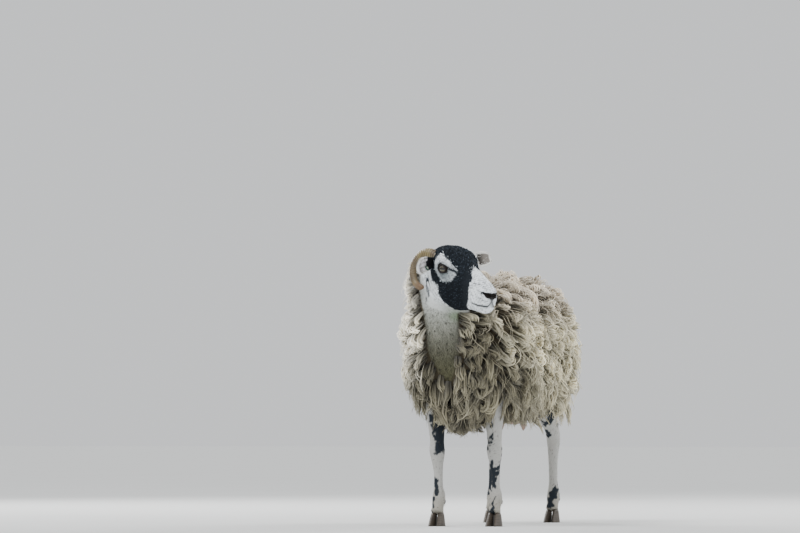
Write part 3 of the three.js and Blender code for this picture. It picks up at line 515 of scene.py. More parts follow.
def leg_path(name, t):
    """Points, half widths and half depths at shares t from the body to the foot."""
    side, rows, (left, back) = LEGS[name]
    shares = np.linspace(0, 1, len(rows))
    values = between(np.column_stack([shares, rows]), t)
    path = values[:, :3] * (side, 1, 1)
    path = path + step_share(path[:, 2:]) * (left, back, 0)
    return path, values[:, 3], values[:, 4]


def leg_form(name, around=40, rings=130):
    """Ovals along the leg, square to its path, with a groove on each side behind the shin
    for the tendons."""
    t = np.linspace(0, 1, rings)
    path, half, deep = leg_path(name, t)
    ahead = unit(np.gradient(path, axis=0))
    back = unit(np.cross(ahead, [1.0, 0, 0]))
    a = circle(around)
    groove = 0.16 * plateau(path[:, 2:], 95, 115, 175, 200) * hump(np.abs(np.cos(a)), 0.93, 0.12)
    groove = groove * (np.sin(a) * np.sign(back[:, 1:2]) > -0.2)
    across = half[:, None] * np.cos(a) * (1 - groove)
    rings_made = carried(path, (1, 0, 0), across, back, deep[:, None] * np.sin(a))
    return tube(rings_made, path[0] + (0, 0, 4), path[-1] - (0, 0, 19))


def dewclaws(name):
    """Middles of a leg's two dewclaws."""
    side, rows, (left, back) = LEGS[name]
    x, y = side * rows[-3][0] + left, rows[-3][1] + DEWCLAW_BEHIND + back
    return [(x + hand * DEWCLAW_SPREAD, y, DEWCLAW_HEIGHT) for hand in (-1, 1)]


def leg_extras(name):
    """Dewclaws, and the point of the hock on a hind leg."""
    side, rows, (left, back) = LEGS[name]
    made = [ellipsoid(centre, DEWCLAW_RADII, 16, 9) for centre in dewclaws(name)]
    if rows is HIND_LEG:
        x, y, z = HOCK_CENTRE
        step = step_share(z)
        made.append(ellipsoid((side * x + left * step, y + back * step, z), HOCK_RADII, 20, 13))
    return made


def tail_form(around=28, rings=40):
    """Ovals down the tail's line."""
    y, z, radius = between(TAIL, np.linspace(0, 1, rings)).T
    path = np.column_stack([0 * y, y, z])
    ahead = unit(np.gradient(path, axis=0))
    back = unit(np.cross([1.0, 0, 0], ahead))
    a, radius = circle(around), radius[:, None]
    rings_made = carried(path, (1, 0, 0), radius * np.cos(a), back, 0.85 * radius * np.sin(a))
    return tube(rings_made, path[0] + (0, -6, 4), path[-1] + (0, -2, -12))


# ---- Head ----
# Where the head's surface rises or sinks: X, |Y|, Z, reach along X, Y and Z, and how far.
FEATURES = [
    (99, 62, 128, 21, 40, 21, 8),  # brow
    (90, 28, 172, 30, 22, 18, 7),  # broad crown
    (114, 38, 150, 24, 20, 16, 6),  # broad forehead
    (78, 56, 58, 26, 40, 26, 4),  # cheek
    (234, 28, 68, 10, 16, 8, 2.0),  # wing of the nostril
    (228, 30, 47, 17, 16, 8, 3.2),  # upper lip
    (228, 22, 19, 14, 16, 8, 2.8),  # lower lip and chin
    (100, 52, 141, 20, 14, 5, 2.6),  # bony edge over the eye
    (74, 60, 116, 5, 14, 13, 2.2),  # bony edge behind the eye
    (52, 50, 138, 12, 16, 11, -2.6),  # hollow of the temple
    (131, 46, 110, 13, 10, 7, -2.8),  # hollow before the eye
    (140, 46, 82, 26, 12, 4.5, 2.6),  # ridge of the cheekbone
    (150, 40, 58, 22, 12, 12, -3.4),  # hollow of the cheek
    (190, 24, 100, 30, 7, 5, -1.8),  # edge of the nose bone
    (60, 52, 44, 24, 20, 22, 3.4),  # jaw muscle
    (240, 22, 76, 7, 7, 3.5, 1.4),  # rim over the nostril
    (208, 32, 40, 6, 10, 6, 1.8),  # fold at the corner of the mouth
    (216, 32, 56, 10, 10, 5, -1.2),  # crease above the lip
    (170, 30, 12, 40, 12, 5, 1.4),  # edge of the jaw
]


def folded(q):
    """Places with her right side laid over her left."""
    return np.stack([q[..., 0], np.abs(q[..., 1]), q[..., 2]], -1)


def mouth_height(q):
    """Height of the line between the lips: it sags from each corner and rises at the midline."""
    x, y = q[..., 0], np.abs(q[..., 1])
    sag = MOUTH["sag"] * smoothstep(x, MOUTH["corner"], 232)
    rise = (MOUTH["rise"] + MOUTH["sag"]) * (1 - smoothstep(y, 1, 13)) * smoothstep(x, 234, 250)
    return MOUTH["height"] - sag + rise


def eye_place(q):
    """Places beside the nearer eye as shares of its opening: along the lids and across them."""
    x, z = q[..., 0] - EYE["x"], q[..., 2] - EYE["z"]
    return x / LID["length"], (z + LID["tilt"] * x) / LID["height"]


def eye_reach(q):
    """1 on the edge of the opening between the lids, which is an almond, and less inside."""
    along, across = eye_place(q)
    skew = 1 + LID["skew"] * np.clip(along, -1, 1) * np.sign(across)
    return np.sqrt(np.abs(along) ** 2.2 + (across / (LID["bow"] * skew)) ** 2)


def bare_lid(q):
    """1 on the bare black skin of the lids, which is widest behind and above the eye."""
    along, across = eye_place(q)
    edge = 1.42 + 0.24 * smoothstep(-along, 0, 1.2) + 0.08 * smoothstep(across, 0, 1)
    return 1 - smoothstep(eye_reach(q) - edge, -0.1, 0.12)


def spaced(low, high, count, dense):
    """Places from low to high, closer together round each (place, reach, weight) in dense."""
    fine = np.linspace(low, high, 4000)
    weight = np.ones_like(fine)
    for place, reach, gain in dense:
        weight += gain * hump(fine, place, reach)
    total = np.concatenate([[0], np.cumsum((weight[1:] + weight[:-1]) / 2)])
    return np.interp(np.linspace(0, total[-1], count), total, fine)


def head_form():
    """Superellipse rings from nape to muzzle, raised and sunk by the features, with the lids
    shaped round the eyeballs, and the nostrils, the lip line and its cleft let in."""
    rings = around = 210
    x = spaced(HEAD[0][0], HEAD[-1][0], rings, [(EYE["x"], 20, 1.6), (245, 22, 1.2)])
    eye_and_lip = [(0.42, 0.34, 1.6), (-0.6, 0.3, 0.8)]
    half_turn = spaced(-np.pi / 2, np.pi / 2, around // 2 + 1, eye_and_lip)
    a = np.concatenate([half_turn[:-1], np.pi - half_turn[:0:-1]])[None, :]
    crown, jaw, upper, lower = (v[:, None] for v in between(HEAD, x).T)
    middle = jaw + 0.52 * (crown - jaw)
    c, s = np.cos(a), np.sin(a)
    tall = np.where(s > 0, crown - middle, middle - jaw)
    half = lower + (upper - lower) * smoothstep(s, -0.6, 0.5)
    z = middle + tall * signed_power(s, 2 / HEAD_SQUARENESS)
    y = half * signed_power(c, 2 / HEAD_SQUARENESS)
    q = np.stack([x[:, None] + 0 * a, y, z], -1)
    ring_wise = np.roll(q, -1, 1) - np.roll(q, 1, 1)
    out = unit(np.cross(np.gradient(q, axis=0), ring_wise))
    from_middle = np.stack([0 * y, y, z - middle], -1)
    out = out * np.sign(np.sum(out * from_middle, -1))[..., None]
    push = np.zeros(q.shape[:2])
    for feature in FEATURES:
        away = ((folded(q) - feature[:3]) / feature[3:6]) ** 2
        push += feature[6] * np.exp(-away.sum(-1) / 2)
    q = lip_line(q + out * push[..., None], out)
    q = with_lids(with_nostrils(q))
    rough = wander(q, 23, 5) * 0.5 + wander(q, 9, 6) * 0.22
    quiet = smoothstep(eye_reach(q) + 3 * (np.abs(q[..., 1]) < 40), 1.2, 2)
    q = q + out * (rough * quiet * (1 - smoothstep(q[..., 0], 190, 230)))[..., None]
    return tube(from_head(q), from_head(HEAD_POLES[0]), from_head(HEAD_POLES[1]))


def lip_line(q, out):
    """A groove along the lips with a soft roll above and below it, and the cleft under the
    nose on the midline."""
    x, y, z = q[..., 0], q[..., 1], q[..., 2]
    away = z - mouth_height(q)
    inside = smoothstep(x, MOUTH["corner"] - 3, MOUTH["corner"] + 6)
    groove = -2.4 * hump(away, 0, 1.1) + 1.3 * hump(np.abs(away), 4.6, 2.6)
    cleft = -2.4 * hump(y, 0, 1.6) * smoothstep(x, 246, 253) * plateau(z, 40, 44, 60, 66)
    return q + out * (groove * inside + cleft)[..., None]


def nostril_reach(q):
    """1 at the edge of the nearer nostril and less inside it: a slit that bows upwards and
    widens towards the midline, measured mostly in the head's length and height."""
    back, front = np.array(NOSTRIL_BACK, float), np.array(NOSTRIL_FRONT, float)
    scale = np.array([1, 0.4, 1])
    line = (front - back) * scale
    off = (folded(q) - back) * scale
    share = np.clip(off @ line / (line @ line), 0, 1)
    bow = 2.2 * np.sin(np.pi * share)[..., None] * (0, 0, 1)
    off = np.linalg.norm(off - share[..., None] * line - bow, axis=-1)
    return off / (2.4 + 2.0 * smoothstep(share, 0.2, 0.8))


def with_nostrils(q):
    """Each nostril sunk in towards the head's middle, with its rim raised."""
    reach = nostril_reach(q)
    inward = np.stack([-0.75 + 0 * reach, -0.6 * np.sign(q[..., 1]), -0.2 + 0 * reach], -1)
    sunk = 7 * (1 - smoothstep(reach, 0.2, 1.2))
    rim = 1.2 * hump(reach, 1.9, 0.5)
    return q + inward * (sunk - rim)[..., None]


def with_lids(q):
    """Round each eye the skin runs onto the eyeball as a thick lid with a fold above and below
    it. Inside the opening it drops behind the eyeball."""
    x, y, z = q[..., 0], q[..., 1], q[..., 2]
    near = (np.abs(x - EYE["x"]) < 45) & (np.abs(z - EYE["z"]) < 40) & (np.abs(y) > 25)
    reach = eye_reach(q)
    _, across = eye_place(q)
    flat = (x - EYE["x"]) ** 2 + (z - EYE["z"]) ** 2
    over = EYE["radius"] + LID["thickness"]
    ball = EYE["y"] + np.sqrt(np.clip(over**2 - flat, 9, None))
    lid = mix(ball, np.abs(y), smoothstep(reach, 1.0, 1.95))
    fold = 1.5 * hump(reach, 1.28, 0.13) * np.where(across > 0, 1.25, 0.8)
    crease = -1.9 * hump(reach, 1.66, 0.13) * np.where(across > 0, 1.2, 0.7)
    lid = np.maximum(lid + fold + crease, 0)
    behind = EYE["y"] + np.sqrt(np.clip(EYE["radius"] ** 2 - flat, 0, None)) - 6
    width = np.where(reach < 1, mix(behind, lid, smoothstep(reach, 0.9, 1.0)), lid)
    moved = np.where(near & (reach < 2.3), width, np.abs(y))
    return np.stack([x, np.sign(y) * moved, z], -1)


# ---- One skin ----
def unioned(base, others):
    """One closed mesh from a mesh and others that cross it."""
    for other in others:
        modified(base, "BOOLEAN", operation="UNION", solver="MANIFOLD", object=other)
        bpy.data.objects.remove(other)
    return base


def edge_ends(piece):
    """The two vertices of each edge."""
    flat = np.empty(len(piece.data.edges) * 2, np.int32)
    piece.data.edges.foreach_get("vertices", flat)
    return flat.reshape(-1, 2)


def relax(piece, weights, rounds):
    """Moves vertices towards the mean of their neighbours, as far as their weights let them."""
    ends = edge_ends(piece)
    points = mesh_points(piece)
    count = np.bincount(ends.ravel(), minlength=len(points))[:, None]
    for _ in range(rounds):
        total = np.zeros_like(points)
        for axis in range(3):
            total[:, axis] += np.bincount(ends[:, 0], points[ends[:, 1], axis], len(points))
            total[:, axis] += np.bincount(ends[:, 1], points[ends[:, 0], axis], len(points))
        points = mix(points, total / np.maximum(count, 1), weights[:, None])
    set_points(piece, points)


VOXEL = 0.0065
NEAR = 7  # how far the remeshed body may lie from the formula and still be put onto it


def make_skin():
    """Trunk, neck, muscles and tail remeshed as one, joined with legs, udder and head, and
    relaxed where they meet."""
    muscles = [
        ellipsoid(np.multiply(centre, (side, 1, 1)), radii, 40, 28)
        for centre, radii in MUSCLES
        for side in (-1, 1)
    ]
    body = joined("skin", [trunk_form(), neck_form(), tail_form(), *muscles])
    body = modified(body, "REMESH", mode="VOXEL", voxel_size=VOXEL)
    relax(body, np.full(len(body.data.vertices), 0.5), 10)
    points = mesh_points(body)
    for _ in range(2):
        height, out = over_skin(points)
        points = points - out * np.where(height < NEAR, height, 0)[:, None]
    set_points(body, points)
    relax(body, np.full(len(points), 0.4), 3)
    limbs = [[leg_form(name), *leg_extras(name)] for name in LEGS]
    teats = [np.add(UDDER_CENTRE, (s * TEAT_SPREAD, -8, -53)) for s in (-1, 1)]
    teats = [ellipsoid(centre, TEAT_RADII, 20, 16) for centre in teats]
    limbs.append([ellipsoid(UDDER_CENTRE, UDDER_RADII, 40, 30), *teats])
    limbs.append([head_form()])
    limbs = [[joined("limb_form", [one]) for one in forms] for forms in limbs]
    skin = unioned(body, [unioned(forms[0], forms[1:]) for forms in limbs])
    points = mesh_points(skin)
    q = to_head(points)
    on_neck = hump(neck_distance(points), 0, 9) * (q[:, 0] < 118) * (q[:, 2] < 80)
    nape = smoothstep(-q[:, 0], -34, -14) * (points[:, 2] > 600)
    in_wool = smoothstep(points[:, 2], 330, 380) * (q[:, 0] < 0)
    shank = 0.35 * (points[:, 2] < 330)
    weights = np.clip(np.maximum.reduce([on_neck, nape, in_wool, shank]), 0, 0.6)
    relax(skin, weights, 8)
    return skin


# ---- Materials ----
def node(tree, kind, inputs=None, output=0, stops=(), **settings):
    """Adds a node and gives back one of its outputs. Inputs are numbers, hex colours or other
    nodes' outputs, stops a colour ramp's places and colours, and settings the node's own."""
    made = tree.nodes.new("ShaderNode" + kind)
    for key, value in settings.items():
        setattr(made, key, value)
    for n, (place, colour) in enumerate(stops):
        made.color_ramp.elements[n].position = place
        made.color_ramp.elements[n].color = (*linear(colour), 1)
    for key, value in (inputs or {}).items():
        if isinstance(value, bpy.types.NodeSocket):
            tree.links.new(value, made.inputs[key])
        else:
            value = (*linear(value), 1) if isinstance(value, str) else value
            made.inputs[key].default_value = value
    return made.outputs[output]


def material(name, build, *given, **values):
    """A material whose surface takes values on its own sockets. Its colour, and where it has a
    relief the height, strength and depth of that, come from build, made on its node tree."""
    made = bpy.data.materials.new(name)
    made.use_nodes = True
    tree = made.node_tree
    surface = tree.nodes["Principled BSDF"]
    for key, value in values.items():
        surface.inputs[key.replace("_", " ")].default_value = value
    colour, *relief = build(tree, *given)
    tree.links.new(colour, surface.inputs["Base Color"])
    if relief:
        bump = node(tree, "Bump", dict(zip(("Height", "Strength", "Distance"), relief)))
        tree.links.new(bump, surface.inputs["Normal"])
    return made


def grain(tree, scale, detail, stretch=(1, 1, 1), place=None):
    """Noise with scale cells per metre of the piece, or per unit of another place, which
    changes less along an axis where the stretch is below 1."""
    if place is None:
        place = node(tree, "TexCoord", output="Object")
    drawn = node(tree, "Mapping", {"Vector": place, "Scale": stretch})
    return node(tree, "TexNoise", {"Vector": drawn, "Scale": scale, "Detail": detail})


def tinted(tree, pattern, gain, least):
    """The piece's own colour times pattern * gain + least."""
    uneven = node(tree, "Math", {0: pattern, 1: gain, 2: least}, operation="MULTIPLY_ADD")
    tint = node(tree, "Attribute", attribute_name="tint")
    return node(tree, "Mix", {"Factor": 1.0, 6: tint, 7: uneven}, 2, data_type="RGBA",
                blend_type="MULTIPLY")


def short_hair_hide(tree):
    """Hide under short, dense hair: matt, each hair 0.1 mm thick, drawn here as streaks about
    a millimetre apart so that they show, with felted clumps 7 mm across."""
    hairs = grain(tree, 900, 3, (1, 1, 0.3))
    height = node(tree, "Math", {0: grain(tree, 140, 2), 1: 2.0, 2: hairs},
                  operation="MULTIPLY_ADD")
    return tinted(tree, hairs, 0.5, 0.75), height, 0.7, 0.0012


def fleece_wool(tree):
    """Coarse hill wool: matt, slightly lustrous fibres 0.04 mm thick, drawn a millimetre apart
    so that they show, so light runs along the strands and goes dark between them."""
    fibres = grain(tree, 1100, 2, (1, 1, 0.18))
    return tinted(tree, fibres, 0.6, 0.7), fibres, 0.6, 0.0008


def face_wool(tree):
    """Short crimped wool and hair of face, throat, ears and legs: matt fibres 0.05 mm thick
    whose tufts a millimetre or two across catch hardly any light where they are black."""
    fibres = grain(tree, 1300, 2)
    return tinted(tree, fibres, 0.6, 0.7), fibres, 0.5, 0.0006


def horn_keratin(tree):
    """Keratin worn smooth on its ridges: half matt, with fine fibres 0.5 mm apart along the
    horn and finer lines round it. The attribute growth is in mm along and round the horn."""
    growth = node(tree, "Attribute", output="Vector", attribute_name="growth")
    fibres = grain(tree, 2, 4, (0.05, 1, 1), growth)
    lines = grain(tree, 0.9, 4, (1, 0.04, 1), growth)
    both = node(tree, "Math", {0: fibres, 1: lines}, operation="ADD")
    return tinted(tree, both, 0.85, 0.18), both, 0.55, 0.0006


def claw_keratin(tree):
    """Hoof horn, dusty and half matt: fine upright tubules and level growth lines 2 mm apart."""
    tubules, lines = grain(tree, 1500, 2, (1, 1, 0.08)), grain(tree, 480, 3, (0.08, 0.08, 1))
    both = node(tree, "Math", {0: tubules, 1: lines}, operation="ADD")
    mean = node(tree, "Math", {0: both, 1: 0.5}, operation="MULTIPLY")
    stops = (0.35, "#1f1b18"), (0.65, "#584d40")
    return node(tree, "ValToRGB", {"Fac": mean}, stops=stops), both, 0.5, 0.0005


def wet_eye(tree):
    """A wet eyeball: clear and mirror smooth over an amber iris with fine spokes, a dark ring
    at its edge and a level slot for a pupil, where |x / 7.4|^3.2 + |y / 3.2|^2.2 is below 1.
    The attribute gaze is the place across the gaze in mm."""
    gaze = node(tree, "Attribute", output="Vector", attribute_name="gaze")
    along = node(tree, "SeparateXYZ", {0: gaze})
    up = along.node.outputs[1]
    flat = node(tree, "CombineXYZ", {0: along, 1: up})
    radius = node(tree, "VectorMath", {0: flat}, "Value", operation="LENGTH")
    angle = node(tree, "Math", {0: up, 1: along}, operation="ARCTAN2")
    outwards = node(tree, "Math", {0: radius, 1: 0.06}, operation="MULTIPLY")
    spokes = grain(tree, 9, 4, place=node(tree, "CombineXYZ", {0: angle, 1: outwards}))
    iris = node(tree, "ValToRGB", {"Fac": spokes}, stops=((0.32, "#26231a"), (0.68, "#6f6950")))
    edge = node(tree, "MapRange", {"Value": radius, "From Min": 7.6, "From Max": 10.4})
    ringed = node(tree, "Mix", {"Factor": edge, 6: iris, 7: "#1d140c"}, 2, data_type="RGBA")
    parts = {}
    for n, (way, share, exponent) in enumerate(((along, 0.135, 3.2), (up, 0.31, 2.2))):
        far = node(tree, "Math", {0: way, 1: share}, operation="MULTIPLY")
        far = node(tree, "Math", {0: far}, operation="ABSOLUTE")
        parts[n] = node(tree, "Math", {0: far, 1: exponent}, operation="POWER")
    slot = node(tree, "Math", parts, operation="ADD")
    pupil = node(tree, "MapRange", {"Value": slot, "From Min": 0.8, "From Max": 1.2,
                                    "To Min": 1.0, "To Max": 0.0})
    return [node(tree, "Mix", {"Factor": pupil, 6: ringed, 7: "#07080a"}, 2, data_type="RGBA")]


def moist_lid(tree):
    """Bare black lid margin, smooth and moist, with fine wrinkles 1 mm apart."""
    wrinkles = grain(tree, 700, 3)
    stops = (0, "#0e0b0b"), (1, "#2e2523")
    return node(tree, "ValToRGB", {"Fac": wrinkles}, stops=stops), wrinkles, 0.4, 0.0004


def tag_plastic(tree, dark, light):
    """Moulded polyurethane, faded and scuffed by weather: half matt with fine grain."""
    wear = grain(tree, 420, 5)
    stops = (0.35, dark), (0.7, light)
    return node(tree, "ValToRGB", {"Fac": wear}, stops=stops), wear, 0.3, 0.0004


def painted_floor(tree):
    """Plain pale paint, matt, with a barely uneven tone."""
    stops = (0, "#cfd0cf"), (1, "#d5d6d5")
    return [node(tree, "ValToRGB", {"Fac": grain(tree, 1.5, 2)}, stops=stops)]


# ---- Colours of skin and wool ----
BLACK_HAIR, WHITE_HAIR = linear("#1e2329"), linear("#f0f5f9")
BARE_BLACK, PINK_SKIN = linear("#15110f"), linear("#a88a7c")
# Edges of the face's markings in the head's frame: at each Z the X that the muzzle is white
# ahead of and the neck behind, and at each angle the reach of the patch round the eye.
PATCH_X, PATCH_Z = 94, 118
MUZZLE_EDGE = (
    [12, 28, 44, 60, 75, 93, 113, 124, 134],
    [172, 183, 190, 187, 188, 192, 182, 171, 160],
)
NECK_EDGE = (
    [6.5, 18.6, 32, 49, 68, 72.6, 90, 113, 131],
    [110, 98, 87, 85, 82, 67, 51.5, 45, 36],
)
EYE_PATCH = (
    [-180, -139, -104, -82, -51, -37, -19, -4, 22, 71, 107, 127, 147, 175, 180],
    [26, 20.8, 26.3, 35.1, 45.3, 49.6, 49.2, 46.1, 32.9, 30.7, 42.2, 41.5, 38.5, 27.1, 26],
)
# The throat darkens downwards: partly dirt, partly painted shade lower down the neck.
THROAT_TONES = [  # height and the throat's colour there
    [420, "#6c6a52"],
    [467, "#6a6956"],
    [502, "#6f6e60"],
    [537, "#88887c"],
    [572, "#a2a399"],
    [600, "#b9bbb3"],
    [630, "#d4d7d3"],
]


def paint(under, over, share):
    """Two colours, hex or linear, mixed by a share at each place."""
    under, over = (linear(c) if isinstance(c, str) else c for c in (under, over))
    return mix(under, over, share[..., None])


def face_white(q):
    """How white the face's hair is at places in the head's frame: black forehead, cheeks and
    jaw, with a white patch round each eye, a white muzzle and a white neck behind."""
    x, z = q[..., 0], q[..., 2]
    ragged = wander(q, 30, 11) * 1.6 + wander(q, 9, 12) * 1.6
    muzzle = smoothstep(x - np.interp(z, *MUZZLE_EDGE) + ragged * 1.1, -1.5, 1.5)
    behind = smoothstep(np.interp(z, *NECK_EDGE) - x + ragged * 1.6, -2, 2)
    behind = behind * (1 - smoothstep(z, 133, 140))
    away_x, away_z = x - PATCH_X, z - PATCH_Z
    angle = np.degrees(np.arctan2(away_z, away_x))
    reach = np.interp(angle, *EYE_PATCH) + 24 * (q[..., 1] > 0) * hump(angle, 95, 45)
    round_eye = smoothstep(reach + ragged * 0.6 - np.hypot(away_x, away_z), -1.6, 1.6)
    round_eye = round_eye * smoothstep(np.abs(q[..., 1]), 14, 22)
    spot = 0.8 * hump(x, 88, 5) * hump(z, 131.5, 3)
    tear = np.exp(-(((z - 118.5 + 0.38 * (x - 119)) / 4.2) ** 4))
    tear = tear * plateau(x, 111, 115, 139, 143)
    white = np.maximum(np.maximum(muzzle, behind), round_eye * (1 - np.maximum(tear, spot)))
    return np.clip(white, 0, 1)


def over_jaw(q):
    """Height over the jaw's lower edge at places in the head's frame."""
    return q[..., 2] - between(HEAD, q[..., 0])[..., 1]


def on_head(p):
    """1 on the head, 0 on the neck behind it."""
    q = to_head(p)
    near = smoothstep(over_jaw(q), -16, -7) * (1 - smoothstep(np.abs(q[..., 1]), 78, 90))
    return near * smoothstep(q[..., 0] + 0.35 * (q[..., 2] - 60), -6, 10)


def speckled(p, share, size, seed):
    """1 in small flecks that cover about a share of the surface."""
    value = wander(p, size, seed) * 0.6 + wander(p, size * 0.45, seed + 1) * 0.5
    return smoothstep(value, 0.9 - 1.2 * share, 1.15 - 1.2 * share)


def leg_black(p):
    """1 in the legs' black patches: a broad one on the inner side of the right foreleg from
    the knee up, a broken streak down the front of the left one, and scattered ones behind."""
    x, y, z = np.moveaxis(p, -1, 0)
    ragged = 3.5 * wander(p, 24, 44) + 2 * wander(p, 9, 45)
    patches = wander(p * (1, 1, 0.55), 74, 41) + 0.35 * wander(p, 21, 42)
    inner = smoothstep(x + 81 + ragged, -1.5, 1.5) * smoothstep(z + 2 * ragged, 208, 216)
    low = smoothstep(patches - 0.3 * smoothstep(z, 90, 180), 0.35, 0.5)
    streak = smoothstep(5.5 + ragged - np.abs(x - 86), -1.5, 1.5) * (y < -262)
    streak = streak * smoothstep(wander(p * (1, 1, 0.6), 26, 46), -0.35, 0.0)
    fore = np.where(x < 0, np.maximum(inner, low), np.maximum(streak, low))
    return np.where(y > -100, smoothstep(patches, 0.2, 0.4), fore)


def throat_tone(height):
    """The throat's colour at a height, between the table's."""
    heights, tones = zip(*THROAT_TONES)
    tones = np.array([linear(tone) for tone in tones])
    return np.stack([np.interp(height, heights, tone) for tone in tones.T], -1)


def face_colour(p, q):
    """Black and white hair of the face, with painted shade greying the white round the eye under
    the brow and on the muzzle's side above the nostril, unevenly toned, with dark flecks behind
    the muzzle and the throat's tone under the jaw."""
    white = face_white(q)
    # Painted shade: the white round the eye is greyed where the brow shades it.
    shaded = hump(q[..., 0], 104, 42) * hump(q[..., 2], 98, 32)
    face = paint(BLACK_HAIR, paint(WHITE_HAIR, "#7f8a8e", 0.9 * shaded), white)
    mottle_and_shade = 0.2 * wander(q, 15, 22) + 0.34 * wander(q, 8, 24) + 0.24 * wander(q, 5, 25)
    # Painted shade: a soft grey patch on the muzzle's side above and behind the nostril.
    mottle_and_shade = mottle_and_shade - 0.24 * hump(q[..., 0], 222, 14) * hump(q[..., 2], 84, 10)
    mottle_and_shade = np.where(mottle_and_shade > 0, 0.4 * mottle_and_shade, mottle_and_shade)
    face = face * (1 + (white * mottle_and_shade)[..., None])
    flecks = speckled(p, 0.16, 6, 21) * white * smoothstep(-q[..., 0], -178, -150)
    face = paint(face, BLACK_HAIR * 1.6, 0.75 * flecks)
    under_jaw = (1 - smoothstep(over_jaw(q), 0, 26)) * (1 - smoothstep(q[..., 0], 100, 130))
    return paint(face, throat_tone(p[..., 2]), 0.8 * under_jaw * white)


def leg_colour(p):
    """White hair with black patches and dark flecks, dirty towards the feet."""
    legs = paint("#b6b5b1", "#8b8371", 0.55 * (1 - smoothstep(p[..., 2], 40, 130)))
    legs = paint(legs, BLACK_HAIR * 1.5, leg_black(p))
    return paint(legs, "#4b443c", 0.6 * speckled(p, 0.15, 8, 43))


def hair_colour(p):
    """Short hair's colour at places on the body: face markings, a grey speckled throat that
    darkens downwards, partly dirt and partly painted shade, dark skin under the wool as painted
    shade in the gaps between staples, paler at spine and poll, white legs with black patches, a
    pink udder, a faint green mark and thin black streaks at the throat."""
    x, y, z = np.moveaxis(p, -1, 0)
    q = to_head(p)
    flecks = speckled(p, 0.3, 6.5, 31) * (1 - 0.5 * smoothstep(z, 610, 660))
    throat = paint(throat_tone(z), "#2a2925", 0.8 * flecks)
    # Painted shade: the skin under the wool is dark grey-brown so that the gaps between staples
    # look shaded; it is paler at spine and poll.
    under_wool = paint("#5f5747", "#a39a87", smoothstep(z, 590, 655) * smoothstep(y, -280, -230))
    under_wool = paint(under_wool, "#dedace", smoothstep(z, 680, 708))
    body = paint(throat, under_wool, smoothstep(past_throat(p), -2, 8))
    body = paint(body, leg_colour(p), smoothstep(-z, -400, -340))
    udder = smoothstep(-np.linalg.norm((p - UDDER_CENTRE) / (80, 90, 90), axis=-1), -1.05, -0.95)
    body = paint(body, PINK_SKIN, 0.8 * udder * smoothstep(-z, -365, -335))
    marked = paint(body, face_colour(p, q), on_head(p))
    dye = np.exp(-(((p - (22, -420, 596)) / (18, 40, 13)) ** 2).sum(-1))
    marked = paint(marked, marked * (0.84, 1.02, 0.8), dye)
    beside = hump(x, -52, 7) * (y < -380) * plateau(z, 632, 642, 702, 712)
    streaks = smoothstep(wander(p * (1, 1, 0.3), 8, 33) * beside, 0.08, 0.3)
    return paint(marked, BLACK_HAIR * 1.5, streaks)


def bare_places(colour, p):
    """Lips, nostrils and lids are bare and dark, and so are the dewclaws. The lip line widens at
    the front with painted shade under the upper lip, and the nostrils hold painted shade for the
    depth of their openings.
    """
    q = to_head(p)
    x, y, z = q[..., 0], np.abs(q[..., 1]), q[..., 2]
    # Painted shade: the dark lip line widens towards the front to take in the shade under the
    # upper lip.
    line = hump(z, mouth_height(q), mix(2.0, 3.3, smoothstep(x, 204, 236)))
    line = line * smoothstep(x, MOUTH["corner"] - 2, MOUTH["corner"] + 4)
    # The nostrils' bare edge, and inside them painted shade for the depth of the opening.
    hole = 1 - smoothstep(nostril_reach(q), 1.35, 1.9)
    nose = 0.9 * smoothstep(x, 242, 247) * plateau(z, 34, 40, 58, 63)
    nose = nose * (1 - smoothstep(y, 2.5, mix(5, 10, smoothstep(z, 48, 57))))
    lid = bare_lid(q) * (np.abs(x - EYE["x"]) < 40) * (y > 30)
    dark = np.clip(np.maximum.reduce([0.95 * line, hole, nose, lid]), 0, 1) * on_head(p)
    for name in LEGS:
        for centre in dewclaws(name):
            away = np.linalg.norm((p - centre - (0, 2, -2)) / DEWCLAW_RADII, axis=-1)
            dark = np.maximum(dark, 1 - smoothstep(away, 0.85, 1.15))
    return paint(colour, BARE_BLACK, dark)


# ---- Eyes, ears, horns, claws, tag ----
def eye_form(side):
    """A ball with its pole along the gaze and a bulge over the iris, and each point's place
    across the gaze in mm."""
    forward = unit(np.array([0.42, side * 0.9, 0.04]))
    level = unit(np.cross([0, 0, 1.0], forward))
    up = np.cross(forward, level)
    t = np.concatenate([np.linspace(0, 0.9, 26)[1:], np.linspace(0.9, np.pi, 20)[1:-1]])[:, None]
    a = circle(64)
    radius = EYE["radius"] + BULGE * (1 - smoothstep(t, 0.35, 0.8))
    local = np.stack([np.sin(t) * np.cos(a), np.sin(t) * np.sin(a), np.cos(t) + 0 * a], -1)
    local = local * radius[..., None]
    ends = np.array([[0, 0, EYE["radius"] + BULGE], [0, 0, -EYE["radius"]]])
    local = np.concatenate([local.reshape(-1, 3), ends])
    centre = np.array([EYE["x"], side * EYE["y"], EYE["z"]])
    points = from_head(local @ np.array([level, up, forward]) + centre)
    faces = facing_out(points, tube_faces(len(t), 64))
    return points, faces, local


